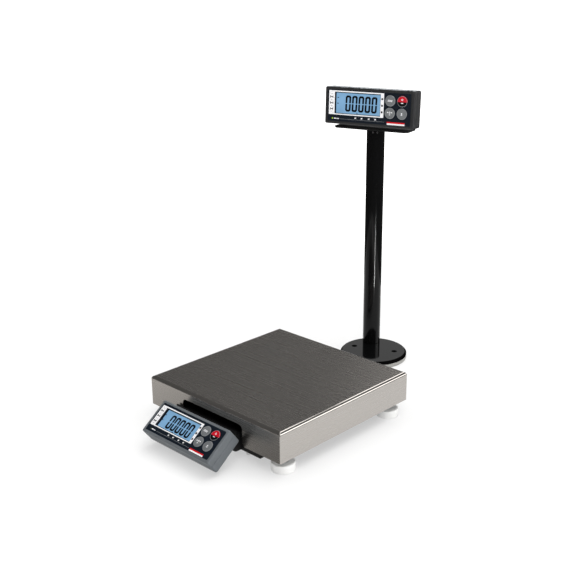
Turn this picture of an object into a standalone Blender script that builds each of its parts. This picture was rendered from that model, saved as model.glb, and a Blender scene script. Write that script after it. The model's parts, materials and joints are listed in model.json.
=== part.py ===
"""Counter-top shipping scale with a tilting operator display and a pole-mounted customer display.

Metres, +Z up.  The operator display is on the -Y side.  Everything hangs from one empty, which at the
end is moved so that the middle of the footprint of the whole scale is the origin, on the counter.
"""

import bmesh
import bpy
from math import atan2, cos, pi, radians, sin
from mathutils import Matrix, Vector

# ---------------------------------------------------------------- driving dimensions

GAP = 0.0003  # clearance kept between touching pieces
BITE = 0.0005  # how far fused shapes reach into each other
PASS = 0.002  # how far a cutter runs past the face it cuts

# weighing platter: a folded stainless cover, 12 inches square
PLATTER_SIDE = 0.305
PLATTER_TOP = 0.0765
PLATTER_SHEET = 0.0015
PLATTER_FOLD = 0.0025
SKIRT_HEIGHT = 0.051
NOTCH_WIDTH = 0.141
NOTCH_TOP = 0.0612
NOTCH_INNER_RADIUS = 0.008
NOTCH_OUTER_RADIUS = 0.006
NOTCH_STEPS = 5
FOLD_STEPS = 4

# levelling feet
FOOT_X = 0.132  # from the platter's centre
FOOT_Y = 0.126
FOOT_RADIUS = 0.019
FOOT_HEIGHT = 0.014
FOOT_TOP_ROUND = 0.002
FOOT_CHAMFER = 0.0012
FOOT_SOCKET_DEPTH = 0.006
STUD_RADIUS = 0.004
STUD_HOLE_RADIUS = 0.0043
STUD_ABOVE_PAN = 0.011
STUD_CHAMFER = 0.001

# base pan: a plate with deep flanges at the front and back and shallow ones at the sides
PAN_SIDE = 0.294
PAN_SHEET = 0.002
PAN_TOP = 0.033
PAN_BOTTOM = 0.015
PAN_SIDE_BOTTOM = 0.024
PAN_LIP = 0.012
PAN_FLANGE_HALF = 0.104
PAN_CORNER_RADIUS = 0.012
PAN_CORNER_STEPS = 4
BOSS_RADIUS = 0.008
BOSS_HEIGHT = 0.007

# load cell and the spider it carries
CELL_LENGTH = 0.130
CELL_WIDTH = 0.030
CELL_HEIGHT = 0.022
CELL_END = 0.044  # bolt group, from the middle of the cell
CELL_EYE_RADIUS = 0.0075
CELL_EYE_SPACING = 0.030
CELL_EYE_NECK = 0.002  # half height of the slot that joins the two eyes
CELL_EYE_STEPS = 14
CELL_EDGE = 0.0008
CELL_THREAD_DEPTH = 0.014
BOLT_PITCH = 0.015
BOLT_RADIUS = 0.0027
BOLT_HOLE_RADIUS = 0.0031
BOLT_HEAD_RADIUS = 0.005
BOLT_HEAD_HEIGHT = 0.0045
BOLT_REACH = 0.012  # into the cell
BOLT_SINK = 0.003  # upper heads, below the spider's top
SPACER_LENGTH = 0.034
SPACER_CORNER = 0.002
LOWER_SPACER_HEIGHT = 0.003
UPPER_SPACER_HEIGHT = 0.0035
SPIDER_THICKNESS = 0.006
SPIDER_ARM_WIDTH = 0.026
SPIDER_CORNER = 0.006
SPIDER_MARGIN = 0.004  # hub around the spacer
BUMPER_OFFSET = 0.108
BUMPER_RADIUS = 0.008
BUMPER_CHAMFER = 0.001

# electronics and small parts on the pan
BOARD_CENTRE = Vector((0.045, 0.075, 0.0))
BOARD_LENGTH = 0.076
BOARD_WIDTH = 0.050
BOARD_THICKNESS = 0.0016
BOARD_CORNER = 0.002
BOARD_RAISED = 0.005
BOARD_POST_X = 0.034
BOARD_POST_Y = 0.021
BOARD_POST_RADIUS = 0.0025
LEVEL_PLACE = Vector((-0.088, -0.030, 0.0))
LEVEL_RADIUS = 0.011
LEVEL_RIM_HEIGHT = 0.007
LEVEL_DOME_HEIGHT = 0.0095
LEVEL_RIM_WIDTH = 0.003
LEVEL_RIM_RISE = 0.0015
STOP_X = 0.072
STOP_Y = -0.1410
STOP_BOTTOM = 0.0088
STOP_HEAD_RADIUS = 0.0045
STOP_NECK_RADIUS = 0.003
STOP_NECK_LENGTH = 0.0045
STOP_CHAMFER = 0.001
BASE_GLAND_X = 0.045
BASE_GLAND_Z = 0.020

# cable gland: neck through the wall, flange, tapered sleeve
GLAND_BORE = 0.0022
GLAND_NECK_RADIUS = 0.0042
GLAND_NECK_LENGTH = 0.0045
GLAND_FLANGE_RADIUS = 0.0062
GLAND_FLANGE = 0.002
GLAND_SLEEVE_RADIUS = 0.0045
GLAND_TIP_RADIUS = 0.0036
GLAND_LENGTH = 0.008

# one display; the customer display is the same design, a little larger
FACE_WIDTH = 0.158
FACE_HEIGHT = 0.060
DISPLAY_DEPTH = 0.0306
FRONT_SHELL_DEPTH = 0.012
FRONT_EDGE_RADIUS = 0.0026
REAR_EDGE_RADIUS = 0.004
SHELL_WALL = 0.0022
FACE_WALL = 0.0028
OVERLAY_WIDTH = 0.1475
OVERLAY_HEIGHT = 0.0515
OVERLAY_CORNER = 0.0015
OVERLAY_RECESS = 0.0006
OVERLAY_PROUD = 0.0002
WINDOW_WIDTH = 0.0795
WINDOW_HEIGHT = 0.0315
WINDOW_CORNER = 0.0008
WINDOW_X = -0.0180
WINDOW_Z = 0.0030
GLASS_HALF_WIDTH = 0.046
GLASS_HALF_HEIGHT = 0.0195
GLASS_THICKNESS = 0.0028
KEY_RADIUS = 0.0088
KEY_DOME = 0.0010
KEY_EDGE = 0.0007
KEY_FLANGE_RADIUS = 0.0094
KEY_FLANGE = 0.001
KEY_STEM_RADIUS = 0.003
KEY_STEM = 0.0012
KEY_COLUMNS = (0.0380, 0.0588)
KEY_ROWS = (0.0130, -0.0065)
KEY_NAMES = (("units", "power"), ("tare", "send"))
PANEL_BOARD_LEFT = -0.070
PANEL_BOARD_RIGHT = 0.072
PANEL_BOARD_HALF_HEIGHT = 0.024
PANEL_BOARD_FRONT = 0.0075
SHELL_POST_X = 0.060
SHELL_POST_Z = -0.012
SHELL_POST_RADIUS = 0.003
SHELL_GLAND_X = -0.035
SHELL_GLAND_Z = -0.012
PIVOT_DEPTH = 0.037  # tilt axis behind the face
PIVOT_RISE = 0.018  # and above the face's middle
LUG_X = 0.059
LUG_WIDTH = 0.004
LUG_RADIUS = 0.0055
LUG_STEPS = 5
CHEEK_X = 0.06325
CHEEK_WIDTH = 0.0025
CHEEK_RADIUS = 0.006
CHEEK_STEPS = 6
ROD_RADIUS = 0.002
ROD_HOLE_RADIUS = 0.0023
ROD_HEAD_RADIUS = 0.004
ROD_HEAD = 0.0022
ROD_CHAMFER = 0.0006
CUSTOMER_SCALE = 1.13

# operator display: middle of its face, how far the face leans back, and the bracket that holds it
OPERATOR_FACE = Vector((0.0, -0.2067, 0.0492))
OPERATOR_TILT = radians(52.9)
BRACKET_SHEET = 0.002
BRACKET_LOW = 0.0175
BRACKET_HIGH = 0.0460
BRACKET_STRIP_DEPTH = 0.006
WING_LEFT = -0.0815
WING_RIGHT = 0.062
WING_TOP = 0.0490
WING_DEPTH = 0.002
WING_OFFSET = 0.0055
BRACKET_SCREW_X = 0.030
BRACKET_SCREW_Z = 0.0235
BRACKET_SCREW_RADIUS = 0.0025
BRACKET_SCREW_HOLE = 0.0028
BRACKET_SCREW_LENGTH = 0.008
BRACKET_SCREW_HEAD = 0.0026
BRACKET_SCREW_HEAD_RADIUS = 0.0045
BRACKET_SCREW_CHAMFER = 0.0008
BRACKET_CHEEK_TOP = 0.004  # flat top of a cheek, from the plate
BRACKET_CHEEK_NECK = 0.0075  # where a cheek meets its round end, from the plate
BRACKET_CHEEK_HEEL = 0.005  # flare at the foot of a cheek
BRACKET_CHEEK_HEEL_RISE = 0.0015
BRACKET_CHEEK_HEEL_STEP = 0.001

# pole stand behind the platform
STAND_CENTRE = Vector((-0.048, 0.308, 0.0))
STAND_RADIUS = 0.0645
STAND_PAD_HEIGHT = 0.0075
STAND_TOP = 0.014
STAND_BEVEL = 0.003
STAND_EDGE = 0.0005
STAND_HOLE_RADIUS = 0.0028
STAND_SINK = 0.0026
STAND_HOLE_CIRCLE = 0.041
STAND_HOLE_ANGLES = (radians(30), radians(196))
POLE_CENTRE = Vector((-0.0798, 0.3397, 0.0))
POLE_RADIUS = 0.017
POLE_BORE_RADIUS = 0.0152
POLE_TOP = 0.4395
SPIGOT_RADIUS = 0.0148
SPIGOT_HEIGHT = 0.028
SPIGOT_CHAMFER = 0.001
PLUG_LENGTH = 0.032
CABLE_HOLE_RADIUS = 0.006
GRUB_ANGLES = (radians(-68), radians(-42))
GRUB_DROP = 0.0030
GRUB_RADIUS = 0.0012
GRUB_HEAD_RADIUS = 0.0017
GRUB_HEAD = 0.0012

# tray on the pole, and the customer display's place on it
TRAY_BOTTOM = 0.441
TRAY_THICKNESS = 0.0035
TRAY_HALF_WIDTH = 0.0745
TRAY_FRONT = 0.028
TRAY_BACK = 0.0185
TRAY_CHAMFER = 0.006
CUSTOMER_FACE_HEIGHT = 0.4835
CUSTOMER_TILT = radians(2.7)
CUSTOMER_YAW = radians(14.4)
CUSTOMER_PIVOT_Y = 0.008  # behind the pole's axis
CUSTOMER_CHEEK_FRONT = 0.004
CUSTOMER_CHEEK_BACK = 0.010
CUSTOMER_CHEEK_SHOULDER = 0.020  # below the tilt axis, at the back
CUSTOMER_CHEEK_THROAT = 0.012  # and at the front

# sides of round pieces, widest first, and steps of small rounds
DISC_STEPS = 48
TUBE_STEPS = 36
ROUND_STEPS = 24
KEY_STEPS = 20
SCREW_STEPS = 16
FINE_STEPS = 12
ROUND_EDGE_STEPS = 3
CORNER_STEPS = 2

# heights that follow from the stack
PAN_HALF = PAN_SIDE / 2
PAN_UNDERSIDE = PAN_TOP - PAN_SHEET
BOARD_BOTTOM = PAN_TOP + BOARD_RAISED
CELL_BOTTOM = PAN_TOP + LOWER_SPACER_HEIGHT + 2 * GAP
CELL_TOP = CELL_BOTTOM + CELL_HEIGHT
SPIDER_BOTTOM = CELL_TOP + UPPER_SPACER_HEIGHT + 2 * GAP
SPIDER_TOP = SPIDER_BOTTOM + SPIDER_THICKNESS
SKIRT_BOTTOM = PLATTER_TOP - SKIRT_HEIGHT


# ---------------------------------------------------------------- materials


def make_material(name, colour, roughness, metallic=0.0):
    material = bpy.data.materials.new(name)
    material.use_nodes = True
    shader = material.node_tree.nodes["Principled BSDF"]
    shader.inputs["Base Color"].default_value = (*colour, 1.0)
    shader.inputs["Roughness"].default_value = roughness
    shader.inputs["Metallic"].default_value = metallic
    return material


# ---------------------------------------------------------------- mesh tools


def box_mesh(low, high, bevel=0.0, steps=2, keep=None):
    """A box between two corners; keep(edge) picks the edges to round."""
    bm = bmesh.new()
    low = Vector(low)
    high = Vector(high)
    bmesh.ops.create_cube(bm, size=1.0)
    size = high - low
    bmesh.ops.scale(bm, vec=size, verts=bm.verts)
    bmesh.ops.translate(bm, vec=(low + high) / 2, verts=bm.verts)
    if bevel:
        edges = [edge for edge in bm.edges if keep is None or keep(edge)]
        bmesh.ops.bevel(bm, geom=edges, offset=bevel, segments=steps, profile=0.5, affect="EDGES")
    return bm


def upright(edge):
    """True for an edge that runs along Z."""
    first, second = edge.verts
    run = second.co - first.co
    return abs(run.z) > 0.9 * run.length


def prism_mesh(outline, low, high, axis="Z"):
    """An outline extruded along an axis.  The outline is (x, y), (x, z) or (y, z) for axis Z, Y or X."""
    bm = bmesh.new()
    rings = []
    for height in (low, high):
        ring = []
        for first, second in outline:
            if axis == "Z":
                point = (first, second, height)
            elif axis == "Y":
                point = (first, height, second)
            else:
                point = (height, first, second)
            ring.append(bm.verts.new(point))
        rings.append(ring)
    count = len(outline)
    bm.faces.new(rings[0])
    bm.faces.new(rings[1])
    for index in range(count):
        after = (index + 1) % count
        bm.faces.new((rings[0][index], rings[0][after], rings[1][after], rings[1][index]))
    bmesh.ops.recalc_face_normals(bm, faces=bm.faces)
    return bm


def turned_mesh(profile, steps=ROUND_STEPS, axis="Z"):
    """A closed (radius, height) profile turned about an axis; radius 0 ends on the axis."""
    bm = bmesh.new()
    rings = []
    for radius, height in profile:
        if radius == 0.0:
            rings.append([bm.verts.new((0.0, 0.0, height))])
            continue
        ring = []
        for step in range(steps):
            angle = 2 * pi * step / steps
            ring.append(bm.verts.new((radius * cos(angle), radius * sin(angle), height)))
        rings.append(ring)
    pairs = list(zip(rings, rings[1:]))
    if profile[0][0] > 0.0 and profile[-1][0] > 0.0:
        pairs.append((rings[-1], rings[0]))
    for lower, upper in pairs:
        for step in range(steps):
            after = (step + 1) % steps
            corners = [lower[step % len(lower)], lower[after % len(lower)]]
            corners += [upper[after % len(upper)], upper[step % len(upper)]]
            unique = list(dict.fromkeys(corners))
            if len(unique) > 2:
                bm.faces.new(unique)
    if axis == "Y":
        bmesh.ops.rotate(bm, cent=(0, 0, 0), matrix=Matrix.Rotation(-pi / 2, 3, "X"), verts=bm.verts)
    elif axis == "X":
        bmesh.ops.rotate(bm, cent=(0, 0, 0), matrix=Matrix.Rotation(pi / 2, 3, "Y"), verts=bm.verts)
    bmesh.ops.recalc_face_normals(bm, faces=bm.faces)
    return bm


def pin_mesh(radius, low, high, steps=FINE_STEPS, axis="Z"):
    """A plain cylinder from low to high on its axis."""
    return turned_mesh([(0.0, low), (radius, low), (radius, high), (0.0, high)], steps, axis)


def arc(centre, radius, start, end, steps):
    """Points on an arc, both ends included."""
    points = []
    for step in range(steps + 1):
        angle = start + (end - start) * step / steps
        points.append((centre[0] + radius * cos(angle), centre[1] + radius * sin(angle)))
    return points


# ---------------------------------------------------------------- object tools


def add(name, bm, material, parent, location=(0, 0, 0), rotation=(0, 0, 0), round_piece=False):
    mesh = bpy.data.meshes.new(name)
    bm.to_mesh(mesh)
    bm.free()
    if round_piece:
        mesh.shade_smooth()
        mesh.set_sharp_from_angle(angle=radians(35))
    piece = bpy.data.objects.new(name, mesh)
    bpy.context.collection.objects.link(piece)
    piece.location = location
    piece.rotation_euler = rotation
    piece.parent = parent
    if material:
        mesh.materials.append(material)
    return piece


def combine(piece, bm, operation, location=(0, 0, 0), rotation=(0, 0, 0)):
    """Cut, or fuse, a helper shape given in the piece's own coordinates."""
    number = len(piece.modifiers)
    helper = add(f"{piece.name}_helper_{number}", bm, None, piece, location, rotation)
    helper.hide_render = True
    helper.display_type = "WIRE"
    modifier = piece.modifiers.new(f"shape {number}", "BOOLEAN")
    modifier.operation = operation
    modifier.solver = "EXACT"
    modifier.object = helper


def cut(piece, bm, location=(0, 0, 0), rotation=(0, 0, 0)):
    combine(piece, bm, "DIFFERENCE", location, rotation)


def fuse(piece, bm, location=(0, 0, 0), rotation=(0, 0, 0)):
    combine(piece, bm, "UNION", location, rotation)


def add_empty(name, parent, location, rotation=(0, 0, 0)):
    empty = bpy.data.objects.new(name, None)
    bpy.context.collection.objects.link(empty)
    empty.location = location
    empty.rotation_euler = rotation
    empty.parent = parent
    return empty


def corner_signs():
    """Name and the two signs of each corner of the platform."""
    return (
        ("front_left", -1, -1),
        ("front_right", 1, -1),
        ("back_left", -1, 1),
        ("back_right", 1, 1),
    )


# ---------------------------------------------------------------- platform


def notch_outline():
    """The opening in the skirt, open at the bottom, as (x, z)."""
    half = NOTCH_WIDTH / 2
    inner = NOTCH_INNER_RADIUS
    outer = NOTCH_OUTER_RADIUS
    right = [(half + outer, SKIRT_BOTTOM - 2 * PASS)]
    right += arc((half + outer, SKIRT_BOTTOM + outer), outer, 1.5 * pi, pi, NOTCH_STEPS)
    right += arc((half - inner, NOTCH_TOP - inner), inner, 0.0, pi / 2, NOTCH_STEPS)
    left = [(-x, z) for x, z in reversed(right)]
    return right + left


def build_platter(root, materials):
    half = PLATTER_SIDE / 2
    inside = half - PLATTER_SHEET

    def folded(edge):
        return all(vert.co.z > SKIRT_BOTTOM + PASS for vert in edge.verts)

    low = (-half, -half, SKIRT_BOTTOM)
    high = (half, half, PLATTER_TOP)
    shell = box_mesh(low, high, PLATTER_FOLD, FOLD_STEPS, folded)
    platter = add("platter", shell, materials["stainless"], root, round_piece=True)
    hollow_top = PLATTER_TOP - PLATTER_SHEET
    cut(platter, box_mesh((-inside, -inside, SKIRT_BOTTOM - PASS), (inside, inside, hollow_top)))
    cut(platter, prism_mesh(notch_outline(), -half - PASS, -inside + PASS, "Y"))


def build_base_pan(root, materials):
    half = PAN_HALF
    inside = half - PAN_SHEET
    below = PAN_BOTTOM - PASS
    beyond = half + PASS
    low = (-half, -half, PAN_BOTTOM)
    high = (half, half, PAN_TOP)
    shell = box_mesh(low, high, PAN_CORNER_RADIUS, PAN_CORNER_STEPS, upright)
    pan = add("base_pan", shell, materials["black_paint"], root)
    cut(pan, box_mesh((-inside, -inside, PAN_BOTTOM + PAN_SHEET), (inside, inside, PAN_UNDERSIDE)))
    opening = half - PAN_LIP
    lip_top = PAN_BOTTOM + PAN_SHEET + PASS
    cut(pan, box_mesh((-opening, -opening, below), (opening, opening, lip_top)))
    for side in (-1, 1):
        xs = sorted((side * PAN_FLANGE_HALF, side * beyond))
        cut(pan, box_mesh((xs[0], -beyond, below), (xs[1], beyond, PAN_SIDE_BOTTOM)))
    for _, sx, sy in corner_signs():
        xs = sorted((sx * PAN_FLANGE_HALF, sx * beyond))
        ys = sorted((sy * PAN_FLANGE_HALF, sy * beyond))
        cut(pan, box_mesh((xs[0], ys[0], below), (xs[1], ys[1], PAN_UNDERSIDE)))
    for _, sx, sy in corner_signs():
        foot = (sx * FOOT_X, sy * FOOT_Y, 0)
        fuse(pan, pin_mesh(BOSS_RADIUS, PAN_UNDERSIDE - BOSS_HEIGHT, PAN_UNDERSIDE + BITE), foot)
        cut(pan, pin_mesh(STUD_HOLE_RADIUS, PAN_UNDERSIDE - BOSS_HEIGHT - PASS, PAN_TOP + PASS), foot)
        post = BOARD_CENTRE + Vector((sx * BOARD_POST_X, sy * BOARD_POST_Y, 0))
        fuse(pan, pin_mesh(BOARD_POST_RADIUS, PAN_TOP - BITE, BOARD_BOTTOM - GAP), post)
    for side in (-1, 1):
        bolt = (-CELL_END, side * BOLT_PITCH / 2, 0)
        cut(pan, pin_mesh(BOLT_HOLE_RADIUS, PAN_UNDERSIDE - PASS, PAN_TOP + PASS), bolt)
        screw = (side * BRACKET_SCREW_X, -half, BRACKET_SCREW_Z)
        cut(pan, pin_mesh(BRACKET_SCREW_HOLE, -PASS, PAN_SHEET + PASS, axis="Y"), screw)
        cut(pan, pin_mesh(STOP_NECK_RADIUS + GAP, below, lip_top), (side * STOP_X, STOP_Y, 0))
    gland = (BASE_GLAND_X, half, BASE_GLAND_Z)
    cut(pan, pin_mesh(GLAND_NECK_RADIUS + GAP, -GLAND_NECK_LENGTH - PASS, PASS, axis="Y"), gland)


def build_feet(root, materials):
    socket = FOOT_HEIGHT - FOOT_SOCKET_DEPTH
    rim = (FOOT_RADIUS - FOOT_TOP_ROUND, FOOT_HEIGHT - FOOT_TOP_ROUND)
    pad = [(0.0, 0.0), (FOOT_RADIUS - FOOT_CHAMFER, 0.0), (FOOT_RADIUS, FOOT_CHAMFER)]
    pad += arc(rim, FOOT_TOP_ROUND, 0.0, pi / 2, ROUND_EDGE_STEPS)
    pad += [(STUD_RADIUS + GAP, FOOT_HEIGHT), (STUD_RADIUS + GAP, socket), (0.0, socket)]
    top = PAN_TOP + STUD_ABOVE_PAN
    stud = [(0.0, socket + GAP), (STUD_RADIUS, socket + GAP), (STUD_RADIUS, top - STUD_CHAMFER)]
    stud += [(STUD_RADIUS - STUD_CHAMFER, top), (0.0, top)]
    for name, sx, sy in corner_signs():
        place = (sx * FOOT_X, sy * FOOT_Y, 0)
        add(f"foot_pad_{name}", turned_mesh(pad), materials["white_plastic"], root, place,
            round_piece=True)
        add(f"foot_stud_{name}", turned_mesh(stud, SCREW_STEPS), materials["zinc"], root, place,
            round_piece=True)


def cell_eyes():
    """Outline of the two eyes in the load cell and the slot that joins them, as (x, z)."""
    middle = (CELL_BOTTOM + CELL_TOP) / 2
    half_spacing = CELL_EYE_SPACING / 2
    neck_run = (CELL_EYE_RADIUS**2 - CELL_EYE_NECK**2) ** 0.5
    neck_angle = atan2(CELL_EYE_NECK, neck_run)
    right = arc((half_spacing, middle), CELL_EYE_RADIUS, pi + neck_angle, 3 * pi - neck_angle,
                CELL_EYE_STEPS)
    left = arc((-half_spacing, middle), CELL_EYE_RADIUS, neck_angle, 2 * pi - neck_angle, CELL_EYE_STEPS)
    return right + left


def build_load_cell(root, materials):
    half_length = CELL_LENGTH / 2
    half_width = CELL_WIDTH / 2
    low = (-half_length, -half_width, CELL_BOTTOM)
    high = (half_length, half_width, CELL_TOP)
    cell = add("load_cell", box_mesh(low, high, CELL_EDGE, 1), materials["aluminium"], root)
    cut(cell, prism_mesh(cell_eyes(), -half_width - PASS, half_width + PASS, "Y"))
    spacers = (
        ("lower_spacer", -CELL_END, PAN_TOP + GAP, LOWER_SPACER_HEIGHT),
        ("upper_spacer", CELL_END, CELL_TOP + GAP, UPPER_SPACER_HEIGHT),
    )
    for name, along, bottom, height in spacers:
        low = (-SPACER_LENGTH / 2, -half_width, bottom)
        high = (SPACER_LENGTH / 2, half_width, bottom + height)
        block = box_mesh(low, high, SPACER_CORNER, CORNER_STEPS, upright)
        spacer = add(name, block, materials["zinc"], root, (along, 0, 0))
        for side in (-1, 1):
            hole = pin_mesh(BOLT_HOLE_RADIUS, bottom - PASS, bottom + height + PASS)
            cut(spacer, hole, (0, side * BOLT_PITCH / 2, 0))
    for side, name in ((-1, "front"), (1, "back")):
        across = side * BOLT_PITCH / 2
        thread = pin_mesh(BOLT_HOLE_RADIUS, CELL_BOTTOM - PASS, CELL_BOTTOM + CELL_THREAD_DEPTH)
        cut(cell, thread, (-CELL_END, across, 0))
        thread = pin_mesh(BOLT_HOLE_RADIUS, CELL_TOP - CELL_THREAD_DEPTH, CELL_TOP + PASS)
        cut(cell, thread, (CELL_END, across, 0))
        face = PAN_UNDERSIDE - GAP
        tip = CELL_BOTTOM + BOLT_REACH
        bolt = [(0.0, face - BOLT_HEAD_HEIGHT), (BOLT_HEAD_RADIUS, face - BOLT_HEAD_HEIGHT)]
        bolt += [(BOLT_HEAD_RADIUS, face), (BOLT_RADIUS, face), (BOLT_RADIUS, tip), (0.0, tip)]
        add(f"cell_bolt_lower_{name}", turned_mesh(bolt, SCREW_STEPS), materials["zinc"], root,
            (-CELL_END, across, 0), round_piece=True)
        face = SPIDER_TOP - BOLT_SINK + GAP
        tip = CELL_TOP - BOLT_REACH
        bolt = [(0.0, tip), (BOLT_RADIUS, tip), (BOLT_RADIUS, face), (BOLT_HEAD_RADIUS, face)]
        bolt += [(BOLT_HEAD_RADIUS, face + BOLT_HEAD_HEIGHT), (0.0, face + BOLT_HEAD_HEIGHT)]
        add(f"cell_bolt_upper_{name}", turned_mesh(bolt, SCREW_STEPS), materials["zinc"], root,
            (CELL_END, across, 0), round_piece=True)


def build_spider(root, materials):
    reach = BUMPER_OFFSET * 2**0.5 + BUMPER_RADIUS + SPIDER_MARGIN
    width = SPIDER_ARM_WIDTH / 2

    def plate(half_length, half_width):
        low = (-half_length, -half_width, SPIDER_BOTTOM)
        high = (half_length, half_width, SPIDER_TOP)
        return box_mesh(low, high, SPIDER_CORNER, CORNER_STEPS, upright)

    turn = -pi / 4  # the first arm is made along X and turned, so helpers in it turn back
    spider = add("spider", plate(reach, width), materials["cast"], root, rotation=(0, 0, -turn))
    fuse(spider, plate(reach, width), rotation=(0, 0, pi / 2))
    hub_length = CELL_END + SPACER_LENGTH / 2 + SPIDER_MARGIN
    fuse(spider, plate(hub_length, CELL_WIDTH / 2 + SPIDER_MARGIN), rotation=(0, 0, turn))
    for side in (-1, 1):
        point = Matrix.Rotation(turn, 3, "Z") @ Vector((CELL_END, side * BOLT_PITCH / 2, 0))
        cut(spider, pin_mesh(BOLT_HOLE_RADIUS, SPIDER_BOTTOM - PASS, SPIDER_TOP + PASS), point)
        cut(spider, pin_mesh(BOLT_HEAD_RADIUS + GAP, SPIDER_TOP - BOLT_SINK, SPIDER_TOP + PASS), point)
    top = PLATTER_TOP - PLATTER_SHEET - GAP
    bottom = SPIDER_TOP + GAP
    bumper = [(0.0, bottom), (BUMPER_RADIUS, bottom), (BUMPER_RADIUS, top - BUMPER_CHAMFER)]
    bumper += [(BUMPER_RADIUS - BUMPER_CHAMFER, top), (0.0, top)]
    for name, sx, sy in corner_signs():
        add(f"platter_bumper_{name}", turned_mesh(bumper, SCREW_STEPS), materials["rubber"], root,
            (sx * BUMPER_OFFSET, sy * BUMPER_OFFSET, 0), round_piece=True)


def gland_profile():
    """A cable gland: neck through a wall, flange, and a short tapered sleeve, bored through."""
    return [
        (GLAND_BORE, -GLAND_NECK_LENGTH),
        (GLAND_NECK_RADIUS, -GLAND_NECK_LENGTH),
        (GLAND_NECK_RADIUS, GAP),
        (GLAND_FLANGE_RADIUS, GAP),
        (GLAND_FLANGE_RADIUS, GLAND_FLANGE),
        (GLAND_SLEEVE_RADIUS, GLAND_FLANGE + BITE),
        (GLAND_TIP_RADIUS, GLAND_LENGTH),
        (GLAND_BORE, GLAND_LENGTH),
    ]


def build_fittings(root, materials):
    low = (-BOARD_LENGTH / 2, -BOARD_WIDTH / 2, BOARD_BOTTOM)
    high = (BOARD_LENGTH / 2, BOARD_WIDTH / 2, BOARD_BOTTOM + BOARD_THICKNESS)
    board = box_mesh(low, high, BOARD_CORNER, CORNER_STEPS, upright)
    add("converter_board", board, materials["board"], root, BOARD_CENTRE)
    add("base_cable_gland", turned_mesh(gland_profile(), SCREW_STEPS, "Y"), materials["rubber"], root,
        (BASE_GLAND_X, PAN_HALF, BASE_GLAND_Z), round_piece=True)
    rim = PAN_TOP + LEVEL_RIM_HEIGHT
    level = [(0.0, PAN_TOP + GAP), (LEVEL_RADIUS, PAN_TOP + GAP), (LEVEL_RADIUS, rim)]
    level += [(LEVEL_RADIUS - LEVEL_RIM_WIDTH, rim + LEVEL_RIM_RISE)]
    level += [(0.0, PAN_TOP + LEVEL_DOME_HEIGHT)]
    add("bubble_level", turned_mesh(level, KEY_STEPS), materials["level_green"], root, LEVEL_PLACE,
        round_piece=True)
    shoulder = PAN_BOTTOM - GAP
    tip = PAN_BOTTOM + STOP_NECK_LENGTH
    stop = [(0.0, STOP_BOTTOM), (STOP_HEAD_RADIUS - STOP_CHAMFER, STOP_BOTTOM)]
    stop += [(STOP_HEAD_RADIUS, STOP_BOTTOM + STOP_CHAMFER), (STOP_HEAD_RADIUS, shoulder)]
    stop += [(STOP_NECK_RADIUS, shoulder), (STOP_NECK_RADIUS, tip), (0.0, tip)]
    for name, side in (("left", -1), ("right", 1)):
        add(f"pan_stop_{name}", turned_mesh(stop, FINE_STEPS), materials["white_plastic"], root,
            (side * STOP_X, STOP_Y, 0), round_piece=True)


# ---------------------------------------------------------------- displays


def rounded_outline(width, height, radius, steps=ROUND_EDGE_STEPS):
    """A rectangle with round corners, about the origin."""
    x = width / 2 - radius
    y = height / 2 - radius
    points = []
    for index, (sx, sy) in enumerate(((1, 1), (-1, 1), (-1, -1), (1, -1))):
        points += arc((sx * x, sy * y), radius, index * pi / 2, (index + 1) * pi / 2, steps)
    return points


def hollow_shell(name, size, front, back, edge_radius, hollow, open_at, shell, axis, origin):
    """Half of a display housing between two depths, rounded all over except at its open side."""
    half_width = size(FACE_WIDTH) / 2
    half_height = size(FACE_HEIGHT) / 2
    wall = size(SHELL_WALL)

    def closed_edges(edge):
        return not all(abs(vert.co.y - open_at) < GAP / 10 for vert in edge.verts)

    block = box_mesh((-half_width, front, -half_height), (half_width, back, half_height),
                     edge_radius, ROUND_EDGE_STEPS, closed_edges)
    piece = add(name, block, shell, axis, origin, round_piece=True)
    inner_width = half_width - wall
    inner_height = half_height - wall
    cut(piece, box_mesh((-inner_width, hollow[0], -inner_height), (inner_width, hollow[1], inner_height)))
    return piece


def key_profile(size):
    """Cap with a slight dome, retaining flange behind the face, and stem."""
    radius = size(KEY_RADIUS)
    flange = size(FACE_WALL) + GAP
    flange_back = flange + size(KEY_FLANGE)
    stem_back = flange_back + size(KEY_STEM)
    return [
        (0.0, -size(KEY_DOME)),
        (radius - size(KEY_EDGE), -size(KEY_DOME) * 0.8),
        (radius, -size(KEY_DOME) * 0.1),
        (radius, flange),
        (size(KEY_FLANGE_RADIUS), flange),
        (size(KEY_FLANGE_RADIUS), flange_back),
        (size(KEY_STEM_RADIUS), flange_back),
        (size(KEY_STEM_RADIUS), stem_back),
        (0.0, stem_back),
    ]


def add_lugs(rear, size):
    """Two lugs on the rear shell, bored on the tilt axis."""
    depth = size(DISPLAY_DEPTH)
    y = size(PIVOT_DEPTH)
    z = size(PIVOT_RISE)
    radius = size(LUG_RADIUS)
    half = size(LUG_WIDTH) / 2
    outline = [(depth - 2 * BITE, z - radius)]
    outline += arc((y, z), radius, -pi / 2, pi / 2, LUG_STEPS)
    outline += [(depth - 2 * BITE, z + radius)]
    for side in (-1, 1):
        x = side * size(LUG_X)
        fuse(rear, prism_mesh(outline, x - half, x + half, "X"))
        hole = pin_mesh(size(ROD_HOLE_RADIUS), -half - PASS, half + PASS, SCREW_STEPS, "X")
        cut(rear, hole, (x, y, z))


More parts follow.
